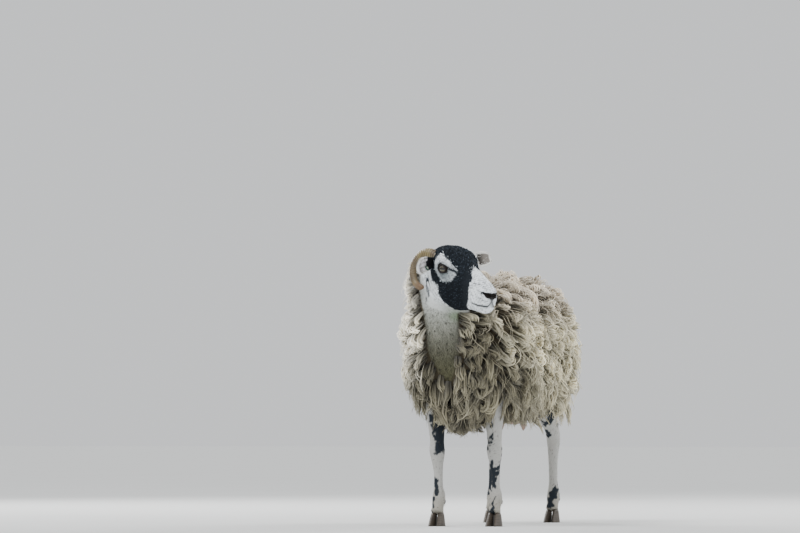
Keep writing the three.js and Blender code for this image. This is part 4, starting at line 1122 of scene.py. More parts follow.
def lid_rim(side, upper):
    """A moist rim along one lid: a thin oval section carried along the edge of the opening."""
    t = np.linspace(0, np.pi, 60) * (1 if upper else -1)
    along = signed_power(np.cos(t), 1 / 1.1)
    across = np.sin(t) * LID["bow"] * (1 + LID["skew"] * along * np.sign(t + 1e-6))
    x = EYE["x"] + LID["length"] * along
    z = EYE["z"] - LID["tilt"] * (x - EYE["x"]) + LID["height"] * across
    flat = (x - EYE["x"]) ** 2 + (z - EYE["z"]) ** 2
    y = EYE["y"] + np.sqrt(np.clip((EYE["radius"] + 1.3) ** 2 - flat, 30, None))
    path = np.stack([x, side * y, z], -1)
    ahead = unit(np.gradient(path, axis=0))
    away = unit(path - (EYE["x"], side * (EYE["y"] - 4), EYE["z"]))
    over = unit(np.cross(ahead, away))
    a = circle(10)
    thick = (2.6 if upper else 2.0) * (0.7 + 0.3 * np.sin(np.abs(t)))[:, None]
    rings = carried(path, over, thick * np.cos(a), away, 0.8 * thick * np.sin(a))
    return tube(from_head(rings), from_head(path[0]), from_head(path[-1]))


def ear_axes(side):
    """The ear's directions in the head's frame: along it, out of its cup, and up across it."""
    raise_, forward = np.radians(EAR_SET[side][0]), np.radians(EAR_SET[side][1])
    out = unit(np.array([np.sin(forward), side * np.cos(forward), np.tan(raise_)]))
    front = unit(np.array([np.cos(forward), -side * np.sin(forward), 0.25]))
    return out, front, unit(np.cross(out, front)) * side


def ear_bow(share):
    """The angle that the ear's section bends through on each side, and its radius."""
    half = EAR["half"] * (0.48 + 0.96 * share) * np.sqrt(np.clip(1 - share**3.4, 0, 1))
    bend = 1.45 - 0.95 * smoothstep(share, 0, 0.75)
    return bend, half / np.sin(bend)


def ear_place(side, share, q, deep):
    """A place on the ear: share of the way to its tip, q from edge to edge, deep in from its
    back. Each section is an arc whose edges curl forwards, nearly closed at the root."""
    out, front, up = ear_axes(side)
    root = np.array([EAR["x"], side * EAR["y"], EAR["z"]])
    middle = root + out * EAR["length"] * share[..., None]
    middle = middle - (0, 0, EAR_SET[side][2]) * share[..., None] ** 2
    bend, radius = ear_bow(share)
    over = ((radius - deep) * np.sin(q * bend))[..., None] * up
    return middle + over + (radius - (radius - deep) * np.cos(q * bend))[..., None] * front


def ear_form(side):
    """A cupped leaf: its back, then its inside with four ribs running lengthwise. Gives each
    point's facts too: 1 on the inside, share of the way to the tip, and place across."""
    lengthwise, crosswise = 0.985 * np.linspace(0, 1, 64) ** 0.9, np.linspace(-1, 1, 36)
    share, q = np.meshgrid(lengthwise, crosswise, indexing="ij")
    filled = 0.55 * ear_bow(share)[1] * (1 - smoothstep(share, 0.04, 0.3))
    edge = np.sqrt(np.clip(1 - q**6, 0, 1))
    ribs = 0.8 * np.cos(q * 11) * plateau(share, 0.12, 0.3, 0.6, 0.9)
    wall = 0.8 + (EAR["wall"] - 0.8 + filled + ribs) * edge
    outer = ear_place(side, share, q, 0 * wall)
    inner = ear_place(side, share, q[:, ::-1], wall[:, ::-1])
    rings = np.concatenate([outer, inner], 1)
    rings = rings + wander(rings, 26, 50 + side)[..., None] * 0.7 * ear_axes(side)[1]
    facts = [np.stack([0 * q, share, q], -1), np.stack([0 * q + 1, share, q[:, ::-1]], -1)]
    facts = np.concatenate(facts, 1).reshape(-1, 3)
    rings = from_head(rings)
    points, faces = tube(rings, rings[0].mean(0), rings[-1].mean(0))
    return points, faces, np.concatenate([facts, [[0, 0, 0], [0, 1, 0]]])


def ear_colour(points, facts, side):
    """White hair on the back. The right cup is white and woolly past its black root. The left
    one is white by the head, dark just past that as painted shade where the cup begins, and
    pinkish grey inside its white rim."""
    inside, along, across = facts.T
    back = paint("#d6d3cc", "#4a433d", 1 - smoothstep(along, 0.0, 0.12))
    back = paint(back, "#35302c", 0.8 * speckled(points, 0.05, 9, 61))
    rim = np.maximum(smoothstep(np.abs(across), 0.68, 0.84), smoothstep(along, 0.92, 0.96))
    if side > 0:
        # Painted shade: a dark band where the left cup begins, then the cup's own grey.
        cup = paint("#302d2a", "#8d8781", smoothstep(along, 0.6, 0.84))
        cup = paint("#e6e6e3", cup, smoothstep(along, 0.57, 0.61))
    else:
        far = along + 0.05 * wander(points, 12, 66)
        cup = paint("#141417", "#e0dee2", smoothstep(far, 0.38, 0.44))
        cup = cup * (1 + 0.14 * wander(points, 7, 65)[:, None])
        rim = rim * smoothstep(far, 0.42, 0.52)
        back = paint(BLACK_HAIR, back, smoothstep(far, 0.34, 0.42))
    cup = paint(cup, "#f3f2ee", rim)
    cup = paint(cup, "#3c3330", 0.5 * speckled(points, 0.05, 8, 63))
    return paint(back, cup, inside)


def horn_path(share):
    """The horn's middle line: a turn in the head's plane that moves outwards on its way."""
    side_reach = HORN_OUT[0] + (HORN_OUT[1] - HORN_OUT[0]) * share**0.62
    angle = np.radians(HORN["start"] + (HORN["end"] - HORN["start"]) * share)
    x = HORN["x"] + HORN["radius"] * np.cos(angle)
    return np.stack([x, side_reach, HORN["z"] + HORN["radius"] * np.sin(angle)], -1)


def horn_form(side):
    """A tapering oval section on that turn, with growth rings that stand out most on the outer
    curve, closer together towards the tip, and a smooth blunt tip. Gives each point's depth in
    a groove, share of the way to the tip, and mm along and round the horn too."""
    share = np.linspace(0, 1, 260)[:, None]
    path = horn_path(share[:, 0]) * (1, side, 1)
    ahead = unit(np.gradient(path, axis=0))
    inward = unit(((HORN["x"], 0, HORN["z"]) - path) * (1, 0, 1))
    across = unit(np.cross(ahead, inward))
    a = circle(48)
    count = HORN_RINGS * (share * 0.86 + 0.14 * share**2)
    jitter = 0.16 * np.sin(a * 2 + share * 9) + 0.12 * np.sin(a * 3 - share * 21)
    phase = (count + jitter) % 1
    ridge = hump(phase, 0.5, 0.24) * 1.2 - 0.5
    fine = 0.22 * np.sin(phase * FULL_TURN * 4 + 2 * np.sin(a * 2))
    fade = 1 - smoothstep(share, 0.74, 0.9)
    blunt = np.sqrt(1 - smoothstep(share, 0.9, 1.0) ** 2 * 0.62)
    size = mix(HORN["base"], HORN["tip"], share) * blunt
    size = size + (ridge * (0.75 - 0.25 * np.cos(a)) + fine) * fade
    keel = 1 + 0.05 * np.cos(2 * a)
    rings = carried(path, inward, size * keel * np.cos(a), across, 0.9 * size * np.sin(a))
    tip = path[-1] + ahead[-1] * 4.5
    points, faces = tube(from_head(rings), from_head(path[0]), from_head(tip))
    groove = np.append((1 - hump(phase, 0.5, 0.26)) * fade, [0, 0])
    along = np.append(np.broadcast_to(share, size.shape), [0, 1])
    length = HORN["radius"] * np.radians(HORN["end"] - HORN["start"])
    girth = np.append(a * 12 + 0 * size, [0, 0])
    return points, faces, groove, along, np.stack([along * length, girth, 0 * girth], -1)


def horn_colour(points, groove, along):
    """Amber-beige rings, darker in the grooves and at the base, one olive band, and a brown tip.
    """
    pale = paint("#a39572", "#8f7d5a", smoothstep(along, 0.1, 0.6))
    pale = paint(pale, "#74624a", np.clip(0.35 + 0.5 * wander(points, 30, 71), 0, 1))
    # Darker in the grooves and at the base.
    darkened = paint(pale, "#2f271e", 0.92 * groove)
    darkened = paint(darkened, "#4a4035", 0.6 * (1 - smoothstep(along, 0.0, 0.1)))
    band = 1 - smoothstep(np.abs(along - 0.24), 0.06, 0.16)
    darkened = paint(darkened, "#8a7a3f", 0.35 * band)
    return paint(darkened, "#6a5238", smoothstep(along, 0.78, 0.93))


def claw_form(name, hand):
    """Level slices of a wedge: rounded outside, flat towards its neighbour, pointed in front,
    its front wall leaning back, flat underneath."""
    side, rows, (left, back) = LEGS[name]
    x, y = rows[-1][:2]
    centre = np.array([side * x + hand * CLAW["spread"] + left, y + back, 0])
    level = np.concatenate([[0, 0, 0], np.linspace(0.02, 0.8, 11), [0.87, 0.93, 0.97, 1, 1]])
    shrink = np.concatenate([[0.4, 0.9, 0.97], np.ones(11), [0.97, 0.9, 0.8, 0.62, 0.3]])
    level, shrink, a = level[:, None], shrink[:, None], circle(36)
    toe = CLAW["toe"] - CLAW["height"] * level * CLAW["lean"]
    heel = CLAW["heel"] - 6 * level
    half = CLAW["half"] * (1.06 - 0.3 * level**1.4)
    flat = np.where(np.cos(a) * hand > 0, 1.0, 0.86)
    narrow = 1 - 0.45 * smoothstep(-np.sin(a), 0.2, 1)
    ridge = 0.25 * np.sin(level * 40)
    across = (half * flat * narrow + ridge) * shrink * np.cos(a)
    lengthwise = ((heel + toe) / 2 + ridge) * shrink * np.sin(a)
    middle = np.stack([-hand * 2.4 * level, (heel - toe) / 2, CLAW["height"] * level], -1)
    rings = centre + middle + np.stack([across, lengthwise, 0 * across], -1)
    return tube(rings, rings[0].mean(0), rings[-1].mean(0))


def tag_forms():
    """Two lathed profiles on the cup of the right ear: a button with a rounded edge, and its
    stud with a dimple."""
    share, across = np.array(TAG_SHARE), np.array(TAG_ACROSS)
    seat = ear_place(-1, share, across, np.array(EAR["wall"]))
    away = unit(ear_place(-1, share, across, np.array(EAR["wall"] + 10.0)) - seat)
    side = unit(np.cross(away, [0, 0, 1.0]))
    over = np.cross(away, side)
    a = circle(40)
    made = []
    for profile in (TAG_BUTTON, TAG_STUD):
        radius, height = np.array(profile).T[..., None]
        rings = carried(seat + height * away, side, radius * np.cos(a), over, radius * np.sin(a))
        rings = from_head(rings)
        made.append(tube(rings, rings[0].mean(0), rings[-1].mean(0)))
    return made


# ---- Coat: roots ----
ON_SKIN = 9  # how near 0 the skin's field still counts as on the trunk and neck
CROWN = (660, 735)  # the wool gets short between these heights and ends at the upper one
THINNER = 1


def surface_places(piece, per_square_cm, seed):
    """Random places spread evenly over a piece's surface, with its normals there."""
    mesh = piece.data
    mesh.calc_loop_triangles()
    corners = np.empty(len(mesh.loop_triangles) * 3, np.int32)
    mesh.loop_triangles.foreach_get("vertices", corners)
    points, corners = mesh_points(piece), corners.reshape(-1, 3)
    a, b, c = (points[corners[:, i]] for i in range(3))
    normal = np.cross(b - a, c - a)
    area = np.linalg.norm(normal, axis=1) / 2
    random = np.random.default_rng(seed)
    count = int(area.sum() / 100 * per_square_cm)
    chosen = np.searchsorted(np.cumsum(area), random.random(count) * area.sum())
    s, t = np.sqrt(random.random((count, 1))), random.random((count, 1))
    places = (1 - s) * a[chosen] + s * (1 - t) * b[chosen] + s * t * c[chosen]
    return places, unit(normal[chosen])


def thinned(places, gap):
    """Numbers of the places kept when each is left out that stands within its gap of one kept
    before it; a grid of cells finds the neighbours."""
    cells = np.floor(places / gap).astype(int)
    around = [(i, j, k) for i in (-1, 0, 1) for j in (-1, 0, 1) for k in (-1, 0, 1)]
    grid, kept = {}, []
    for n, ((i, j, k), place) in enumerate(zip(cells.tolist(), places.tolist())):
        near = [p for di, dj, dk in around for p in grid.get((i + di, j + dj, k + dk), ())]
        if all(sum((a - b) ** 2 for a, b in zip(p, place)) > gap * gap for p in near):
            grid.setdefault((i, j, k), []).append(place)
            kept.append(n)
    return np.array(kept, int)


def on_neck_front(p, margin=0):
    """True on the neck's front, from the throat's lower end up."""
    return (p[:, 1] < NECK_FRONT) & (p[:, 2] > THROAT[0][0] + margin)


def past_or_far(p):
    """Degrees past the throat's edge on the front of the neck, and a large number elsewhere."""
    return np.where(on_neck_front(p), past_throat(p), 90)


def bears_fleece(p):
    """True where long wool grows: not on head, throat, legs, udder or tail."""
    throat = on_neck_front(p) & (past_throat(p) < 1)
    x, y, z = p.T
    near_leg = np.zeros(len(p), bool)
    for rows in (FORELEG, HIND_LEG):
        near_leg |= (z < 372) & (np.hypot(np.abs(x) - rows[1][0], y - rows[1][1]) < 46)
    near_udder = (z < 355) & (np.hypot(x, y - UDDER_CENTRE[1]) < 86)
    near_tail = (y > 345) & (np.abs(x) < 22) & (z < 590)
    on_body = (np.abs(skin_field(p)) < ON_SKIN) & (z < CROWN[1]) & (on_head(p) < 0.5)
    return on_body & ~(throat | near_leg | near_udder | near_tail)


# ---- Coat: fleece ----
STEPS = np.array([0, 0.19, 0.36, 0.5, 0.62, 0.72, 0.81, 0.88, 0.94, 1.0])  # along a staple
HEM, SHORTEST, FLEECE_DEPTH = 280, 30, 64
FLEECE_GAP, WISP_GAP, TAIL_GAP = ((17.8, 18.5, 15.5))
CLUMP_GAP = 22
STRANDS, SPREAD, STRAND_HALF, WAVE = 15, 11.8, 2.2, 4.2
PATCH = 0.0015  # half width of a strand's patch on the baking map
TRUNK_END, TRUNK_ROUND, NECK_ROUND = 330, 140, 80  # the map's trunk end and mean radii
ON_NECK, UP_NECK = (0, -296, 575), (0, -0.83, 0.558)  # a plane between trunk and neck pieces
CORNERS = np.array([1.571, 3.665, 5.76])  # angles of a strand's three corners


def fall(p, out):
    """Which way wool lies: down, a little to the tail, and off the spine to its own side, kept
    square to the way out of the skin."""
    side = signed_power(np.clip(p[:, 0] / 110, -1, 1), 2) * 0.8 * np.clip(out[:, 2], 0, 1)
    lean = 0.34 - 0.24 * smoothstep(-p[:, 1], 150, 300)
    wish = np.stack([side, lean, -1 + 0 * side], -1)
    inward = np.minimum(np.sum(wish * out, -1), 0)
    return unit(wish - out * inward[:, None])


def risen(share):
    """1 - (1 - share)^2.2, how high wool stands at a share of its length."""
    return 1 - (1 - share) ** 2.2


def staple_paths(roots, length, depth, turn, swirl):
    """Middle lines of staples: each step goes along the fall, turned by turn + swirl share^2
    radians, then to its height over the skin, depth (1 - (1 - share)^2.2), a quarter less at
    the tip, so that a lock ends in a curl. Hanging wool isn't pulled back in."""
    height, out = over_skin(roots)
    at = roots - out * height[:, None]
    path, outs = [at], [out]
    for before, share in zip(STEPS, STEPS[1:]):
        along = fall(at, out)
        angle = (turn + swirl * share**2)[:, None]
        along = along * np.cos(angle) + np.cross(along, out) * np.sin(angle)
        at = at + along * (length * (share - before))[:, None]
        height, out = over_skin(at)
        lift = depth * risen(share) * (1 - 0.25 * smoothstep(share, 0.7, 1)) - height
        hanging = np.clip(1 + 2.5 * out[:, 2], 0, 1)
        at = at + out * np.where(lift < 0, lift * hanging, lift)[:, None]
        path.append(at)
        outs.append(out)
    return np.stack(path, 1), np.stack(outs, 1)


def tail_paths(roots, outs, length, depth):
    """Staples on the tail: out from it and down."""
    share, down = STEPS[:, None], np.array([0, 0.06, -1.0])
    flat = (outs * (1, 1, 0.3))[:, None]
    path = roots[:, None] + flat * risen(share) * depth[:, None, None]
    path = path + down * share * length[:, None, None]
    return path, np.repeat(flat, len(STEPS), 1)


def strands(path, outs, random, count, spread, half, wave, curl, phase):
    """Strands round each staple's middle line: they start spread over its root, draw together
    towards its tip, and wave and curl with it, and are eased once. Each is a flat three-sided
    taper. Returns points (strand, ring, side), tips, and how high each lies in its staple."""
    ahead = unit(np.gradient(path, axis=1))
    side = unit(np.cross(ahead, outs))
    up = np.cross(side, ahead)
    spread, half, curl, phase = (v[:, None, None, None] for v in (spread, half, curl, phase))
    share = STEPS[:, None]
    size = (len(path), count, 1, 1)
    angle = random.uniform(0, 2 * np.pi, size)
    reach = np.sqrt(random.uniform(0.02, 1, size)) * spread
    draw = np.interp(share, [0, 0.3, 0.6, 0.8, 1], [0.65, 1, 1.0, 0.8, 0.45])
    short = random.uniform(0.76, 1.06, size)
    phase = phase + random.normal(0, 0.45, size)
    bend = wave * np.sin(FULL_TURN * 1.35 * share + phase) * share**0.6
    lift = 0.8 * wave * np.sin(FULL_TURN * 1.6 * share + phase * 1.7) * share**0.6
    over = reach * np.cos(angle) * draw + bend + curl * share**3
    out = reach * np.sin(angle) * draw * 0.7 + lift
    line = path[:, None] + side[:, None] * over + up[:, None] * out
    line = line[:, :, :1] + (line - line[:, :, :1]) * mix(1.0, short, share)
    eased = line[:, :, 1:-1] / 2 + (line[:, :, :-2] + line[:, :, 2:]) / 4
    line = np.concatenate([line[:, :, :1], eased, line[:, :, -1:]], 2)
    taper = np.interp(share, [0, 0.2, 0.5, 0.75, 0.92, 1], [0.8, 1, 1, 0.8, 0.42, 0.05])
    corner = CORNERS + random.uniform(-0.4, 0.4, size)
    half = half * taper * random.uniform(0.7, 1.3, size)
    across, high = half * np.cos(corner), 0.5 * half * np.sin(corner)
    side, up = side[:, None, :, None], up[:, None, :, None]
    points = line[..., None, :] + side * across[..., None] + up * high[..., None]
    points = points[:, :, :-1].reshape(-1, len(STEPS) - 1, 3, 3)
    height = np.sqrt(reach / reach.max()) * np.sin(angle)
    return points, line[:, :, -1].reshape(-1, 3), height.reshape(-1, 1, 1)


def hair_mesh(name, points, tips, colours, unroll):
    """One mesh of many tapers. Points are (taper, ring, 3 sides), colours a colour for each
    ring and the tip of each. On the map for baking, each is a small patch at its root's place
    on the unrolled skin."""
    n, rings = points.shape[:2]
    size = rings * 3 + 1
    coordinates = np.concatenate([points.reshape(n, -1, 3), tips[:, None]], 1).reshape(-1, 3)
    ring, k = np.divmod(np.arange(rings * 3 - 3), 3)
    low, after = ring * 3, (k + 1) % 3
    quads = np.stack([low + k, low + after, low + 3 + after, low + 3 + k], 1)
    top = rings * 3 - 3
    tris = np.array([[0, 2, 1]] + [[top + i, top + (i + 1) % 3, size - 1] for i in range(3)])
    start = (np.arange(n) * size)[:, None, None]
    faces = (quads + start).reshape(-1, 4), (tris + start).reshape(-1, 3)
    piece = mesh_object(name, coordinates, facing_out(coordinates, faces))
    shade = np.concatenate([np.repeat(colours[:, :rings], 3, 1), colours[:, rings:]], 1)
    add_colour(piece, shade.reshape(-1, 3))
    low, high = unroll.min(0), unroll.max(0)
    centre = 0.01 + 0.98 * (unroll - low) / np.maximum(high - low, 1e-6)
    ring = np.append(np.repeat(np.linspace(-1, 0.8, rings), 3), 1)
    side = np.append(np.tile([-1, 0, 1], rings), 0)
    patch = np.stack([side, ring], 1) * PATCH
    uv = (centre[:, None] + patch).reshape(-1, 2)
    corner_of = np.empty(len(piece.data.loops), np.int32)
    piece.data.loops.foreach_get("vertex_index", corner_of)
    layer = piece.data.uv_layers.new(name="OFBake")
    layer.data.foreach_set("uv", uv[corner_of].astype(np.float32).ravel())
    return piece


def round_trunk(p):
    """Places on the trunk unrolled: length, and the way round it from the spine."""
    middle = trunk_size(np.clip(p[:, 1], -TRUNK_END, TRUNK_END))[1]
    return np.stack([p[:, 1], np.arctan2(p[:, 0], p[:, 2] - middle) * TRUNK_ROUND], 1)


def round_neck(p):
    """Places on the neck unrolled: the way round it, and height."""
    x, y = between(NECK, p[:, 2])[:, :2].T
    return np.stack([np.arctan2(p[:, 0] - x, p[:, 1] - y) * NECK_ROUND, p[:, 2]], 1)


def fleece_colour(p, out, random):
    """A staple's own colour: grey-beige on the back, beige down the sides with a paler place
    over the shoulder as painted light, dark brown on the chest, partly dirt and partly painted
    shade and reflected light, darker beneath as painted shade, cream at the nape and paler on
    the side of the neck facing her right, partly real and partly painted light, with whole
    staples paler or darker than their neighbours."""
    x, y, z = p.T
    # Cream wool at the nape, brightened to near white on the side facing her right and back as
    # painted rim light.
    nape = smoothstep(-0.96 * out[:, 0] + 0.28 * out[:, 1], 0.3, 0.7)
    nape = nape * smoothstep(z, 400, 560) * smoothstep(-y, 200, 290)
    colour = paint("#cbc3a7", "#dcd5bb", np.clip(0.5 + 0.5 * wander(p, 170, 81), 0, 1))
    colour = paint(colour, "#cdc2b1", 0.85 * smoothstep(out[:, 2], 0.2, 0.85))
    # The chest's dark brown: partly dirt, partly painted shade under the head, with a painted
    # greenish tinge of light reflected from below.
    begins = mix(60, 215, smoothstep(z, 420, 540))
    front = smoothstep(-y - begins, 0, 95) * (1 - smoothstep(z, 520, 650))
    front = front * (0.72 + 0.28 * smoothstep(z, 390, 460))
    front = front * (1 - 0.85 * smoothstep(x, 65, 115) * smoothstep(z, 440, 520))
    colour = paint(colour, "#534d37", 0.85 * front)
    # Painted shade: wool that faces down is darker.
    colour = paint(colour, "#4a4332", 0.62 * smoothstep(-out[:, 2], 0.25, 0.8))
    # Painted light: a paler place over the shoulder, against the shade that the neck casts there.
    pale = hump(y, -160, 90) * hump(z, 545, 60) * smoothstep(x, 40, 100)
    colour = colour * (1 + 0.3 * pale[:, None])
    # The side of the neck facing her right is paler: partly paler wool, partly painted light.
    far_neck = smoothstep(-x, 20, 70) * smoothstep(-y, 250, 330) * smoothstep(z, 430, 530)
    colour = paint(paint(colour, "#d2c9ac", far_neck), "#fbf6e8", nape)
    patchy = 1 + 0.16 * wander(p, 60, 82)[:, None] + random.normal(0, 0.19, (len(p), 1))
    return colour * np.clip(patchy, 0.5, 1.5)


def clumped_staples(skin, random):
    """Roots of the fleece's staples with their paths, colours, sizes, curls and phases. They
    stand about 18 mm apart over the body, in clumps: each follows the staple that leads its
    clump in length, depth, turn, curl and colour, and leans over to it."""
    places, _ = surface_places(skin, 3, 3)
    places = places[bears_fleece(places)]
    out = over_skin(places)[1]
    seen = 1 - 0.45 * smoothstep(-out[:, 2], 0.5, 0.9)
    places = places[random.random(len(places)) < seen]
    roots = places[thinned(places, FLEECE_GAP)]
    out = over_skin(roots)[1]
    n, z, past = len(roots), roots[:, 2], past_or_far(roots)
    top = smoothstep(out[:, 2], 0.3, 0.9)
    crown, low = smoothstep(z, *CROWN), 1 - smoothstep(z, 385, 455)
    length = mix(50.0, 88.0, low) * (1 - 0.2 * crown)
    length = length * random.uniform(0.65, 1.35, n) * (1 - 0.12 * top)
    length = length * (0.66 + 0.34 * smoothstep(past, 6, 70))
    hem = HEM + 45 * random.random(n) ** 2
    length = np.minimum(length, np.maximum(z - hem, SHORTEST))
    rump = top * smoothstep(roots[:, 1], -150, 0)
    depth = FLEECE_DEPTH * random.uniform(0.5, 1.04, n) * (1 - 0.4 * crown) * (1 + 0.25 * rump)
    free = 0.25 + 0.75 * smoothstep(past, 10, 55)
    turn = (0.3 * wander(roots, 130, 83) + 0.42 * random.normal(size=n)) * free
    size, phase = random.uniform(0.75, 1.25, n), random.uniform(0, FULL_TURN, n)
    curl, swirl = random.normal(0, 15, n), random.normal(0, 1.9, n)
    swirl = swirl * (1 - 0.62 * top - 0.45 * low) * free
    leads = thinned(roots, CLUMP_GAP)
    lead = leads[np.argmin(((roots[:, None] - roots[leads]) ** 2).sum(-1), 1)]
    turn = turn[lead] + 0.13 * random.normal(size=n)
    length = mix(length, np.minimum(length[lead], length * 1.3), 0.8)
    depth = mix(depth, depth[lead], 0.75) * (0.6 + 0.4 * smoothstep(past, 3, 18))
    path, outs = staple_paths(roots, length, depth, turn, swirl[lead])
    path = path + (path[lead] - path) * (0.55 * smoothstep(STEPS, 0.12, 0.95))[:, None]
    colour = fleece_colour(roots, out, random)
    return roots, (path, outs, mix(colour, colour[lead], 0.8), size, curl[lead], phase[lead])


def fleece_pieces(skin):
    """The fleece in pieces along the trunk and round the neck."""
    roots, values = clumped_staples(skin, np.random.default_rng(9))
    on_neck = (roots - ON_NECK) @ UP_NECK > 0
    made = []
    for word, chosen, unroll, parts in (
        ("neck", on_neck, round_neck, 3),
        ("trunk", ~on_neck, round_trunk, 8),
    ):
        chosen = np.nonzero(chosen)[0]
        chosen = chosen[np.argsort(unroll(roots[chosen])[:, 0])]
        for i, some in enumerate(np.array_split(chosen, parts)):
            name, random = f"fleece_{word}_{i + 1}", np.random.default_rng(100 + i)
            own = (v[some] for v in values)
            made.append(staple_piece(name, *own, unroll(roots[some]), random))
    return made


def staple_piece(name, path, outs, colour, size, curl, phase, unroll, random):
    """Strands for some staples, with painted shade dark at the root and on the strands lying low
    in the staple, palest near the tip.
    """
    points, tips, high = strands(path, outs, random, STRANDS, SPREAD * size,
                                 STRAND_HALF * size**0.5, WAVE, curl, phase)
    shade = np.interp(STEPS, [0, 0.3, 0.55, 0.8, 1], [0.28, 0.5, 0.92, 1.32, 1.2])
    # Painted shade: strands lower in their staple are darker.
    own = np.clip(random.normal(1, 0.07, high.shape), 0.7, 1.3) * (1 + 0.26 * high)
    colours = np.repeat(colour, STRANDS, 0)[:, None] * shade[:, None] * own
    unroll = np.repeat(unroll, STRANDS, 0)
    return hair_mesh(name, points, tips, colours, unroll + random.normal(0, 3, unroll.shape))


def tail_piece(skin):
    """The tail's own wool: staples round it, hanging down."""
    random = np.random.default_rng(17)
    places, normals = surface_places(skin, 3, 5)
    x, y, z = places.T
    near = (y > 335) & (np.abs(x) < 36) & (z > 340) & (z < 640) & (skin_field(places) > 2)
    places, normals = places[near], normals[near]
    kept = thinned(places, TAIL_GAP)
    roots, normals = places[kept], normals[kept]
    n = len(roots)
    length = np.minimum(84 * random.uniform(0.7, 1.25, n), roots[:, 2] - 262)
    path, outs = tail_paths(roots, normals, length, 18 * random.uniform(0.6, 1.15, n))
    colour = fleece_colour(roots, normals * 0.2, random) * 0.92
    unroll = np.stack([np.arctan2(roots[:, 0], roots[:, 1] - 380) * 30, roots[:, 2]], 1)
    size, curl = random.uniform(0.75, 1.25, n), random.normal(0, 15, n)
    phase = random.uniform(0, FULL_TURN, n)
    return staple_piece("fleece_tail", path, outs, colour, size, curl, phase, unroll, random)


# ---- Coat: short hair ----
def tufts(name, roots, outs, lie, length, half, lift, colour, unroll, random):
    """Short hair in small pointed tufts: each leaves the skin, bends over to its lie and ends
    in a point, darker at the root. Half is half its width there, lift its height at the tip."""
    n = len(roots)
    lie = unit(lie - outs * np.sum(lie * outs, -1, keepdims=True))
    lie = unit(lie + np.cross(lie, outs) * random.normal(0, 0.28, (n, 1)))
    side = np.cross(lie, outs)
    share = np.array([[0], [0.5], [1.0]])
    rise = lift[:, None, None] * (1 - (1 - share) ** 2)
    line = roots[:, None] - outs[:, None] * 0.8 + outs[:, None] * rise
    line = line + lie[:, None] * share**1.3 * length[:, None, None]
    corner = CORNERS[:, None]
    half = half[:, None, None, None] * np.array([1.0, 0.8])[:, None, None]
    points = (
        line[:, :2, None]
        + side[:, None, None] * half * np.cos(corner)
        + outs[:, None, None] * half * 0.5 * np.sin(corner)
    )
    shade = np.array([[0.66], [0.92], [1.12]]) * random.uniform(0.74, 1.22, (n, 1, 1))
    return hair_mesh(name, points, line[:, 2], colour[:, None] * shade, unroll)


def hair_roots(piece, per_square_cm, gap, seed, where):
    """Places for tufts on a piece where a test allows them, thinned to a gap."""
    places, normals = surface_places(piece, per_square_cm, seed)
    wanted = where(places)
    places, normals = places[wanted], normals[wanted]
    kept = thinned(places, gap * THINNER)
    return places[kept], normals[kept]


def on_haired_face(p):
    """True on the head away from lids, nostrils and lips, and outside the wool of the neck."""
    q = to_head(p)
    near_eye = (np.abs(q[:, 1]) > 30) & (np.abs(q[:, 0] - EYE["x"]) < 40) & (bare_lid(q) > 0.4)
    lips = (np.abs(q[:, 2] - mouth_height(q)) < 2.8) & (q[:, 0] > MOUTH["corner"])
    return (q[:, 0] > 4) & (on_head(p) > 0.4) & ~near_eye & (nostril_reach(q) > 1.9) & ~lips


def face_hair(skin):
    """Black curled wool on the forehead, cheeks and jaw, about 5 mm long, and shorter hair on
    the white patches and the muzzle. It lies back from the nose and down the cheeks."""
    random = np.random.default_rng(23)
    roots, outs = hair_roots(skin, 60, 1.62, 7, on_haired_face)
    q = to_head(roots)
    white = face_white(q)
    n = len(roots)
    woolly = (1 - white) * (1 - smoothstep(q[:, 0], 150, 185))
    nearer_nose = 1 - 0.4 * smoothstep(q[:, 0], 190, 240)
    length = mix(3.8, 4.9, woolly) * nearer_nose * random.uniform(0.75, 1.25, n)
    curl = np.stack([wander(q, 9, 91), wander(q, 11, 93), wander(q, 10, 94)], -1)
    curl = curl * 1.3 * woolly[:, None]
    lie = np.array([-0.8, 0, -0.25]) + curl + (0, 0, 1) * (q[:, 2:] > 120) * 0.3
    lie = lie - np.array([0, 0, 0.9]) * smoothstep(90 - q[:, 2], 0, 50)[:, None]
    lie = lie @ HEAD_AXES.T
    sheen = 2.4 * smoothstep(wander(q, 10, 97), 0.0, 0.9) * smoothstep(q[:, 2], 60, 130)
    sheen = sheen + 5 * smoothstep(wander(q, 5.5, 98), 0.45, 1.0)
    ragged = np.random.default_rng(24).normal(0, 1.9, roots.shape)
    colour = hair_colour(roots + ragged) * (mix(1.0, 1.1, woolly) + sheen * woolly)[:, None]
    lift = mix(0.9, 2.5, woolly) * nearer_nose
    unroll = np.stack([q[:, 0], np.arctan2(q[:, 1], q[:, 2] - 80) * 50], 1)
    width = mix(0.6, 0.85, woolly)
    return tufts("face_hair", roots, outs, lie, length, width, lift, colour, unroll, random)


def throat_hair(skin):
    """Short pale speckled wool down the throat."""
    random = np.random.default_rng(29)

    def on_throat(p):
        front = (np.abs(skin_field(p)) < ON_SKIN) & on_neck_front(p, 4)
        return front & (past_throat(p) < 9) & (on_head(p) < 0.6)

    roots, outs = hair_roots(skin, 24, 2.9, 13, on_throat)
    n = len(roots)
    lie = np.array([0, 0.1, -1.0]) + 0.35 * wander(roots, 40, 92)[:, None] * (1, 0, 0)
    length = mix(8.5, 6.0, smoothstep(roots[:, 2], 480, 640)) * random.uniform(0.75, 1.3, n)
    lift = 3.0 * random.uniform(0.6, 1.3, n)
    return tufts("throat_hair", roots, outs, lie, length, np.full(n, 1.1), lift,
                 hair_colour(roots), round_neck(roots), random)


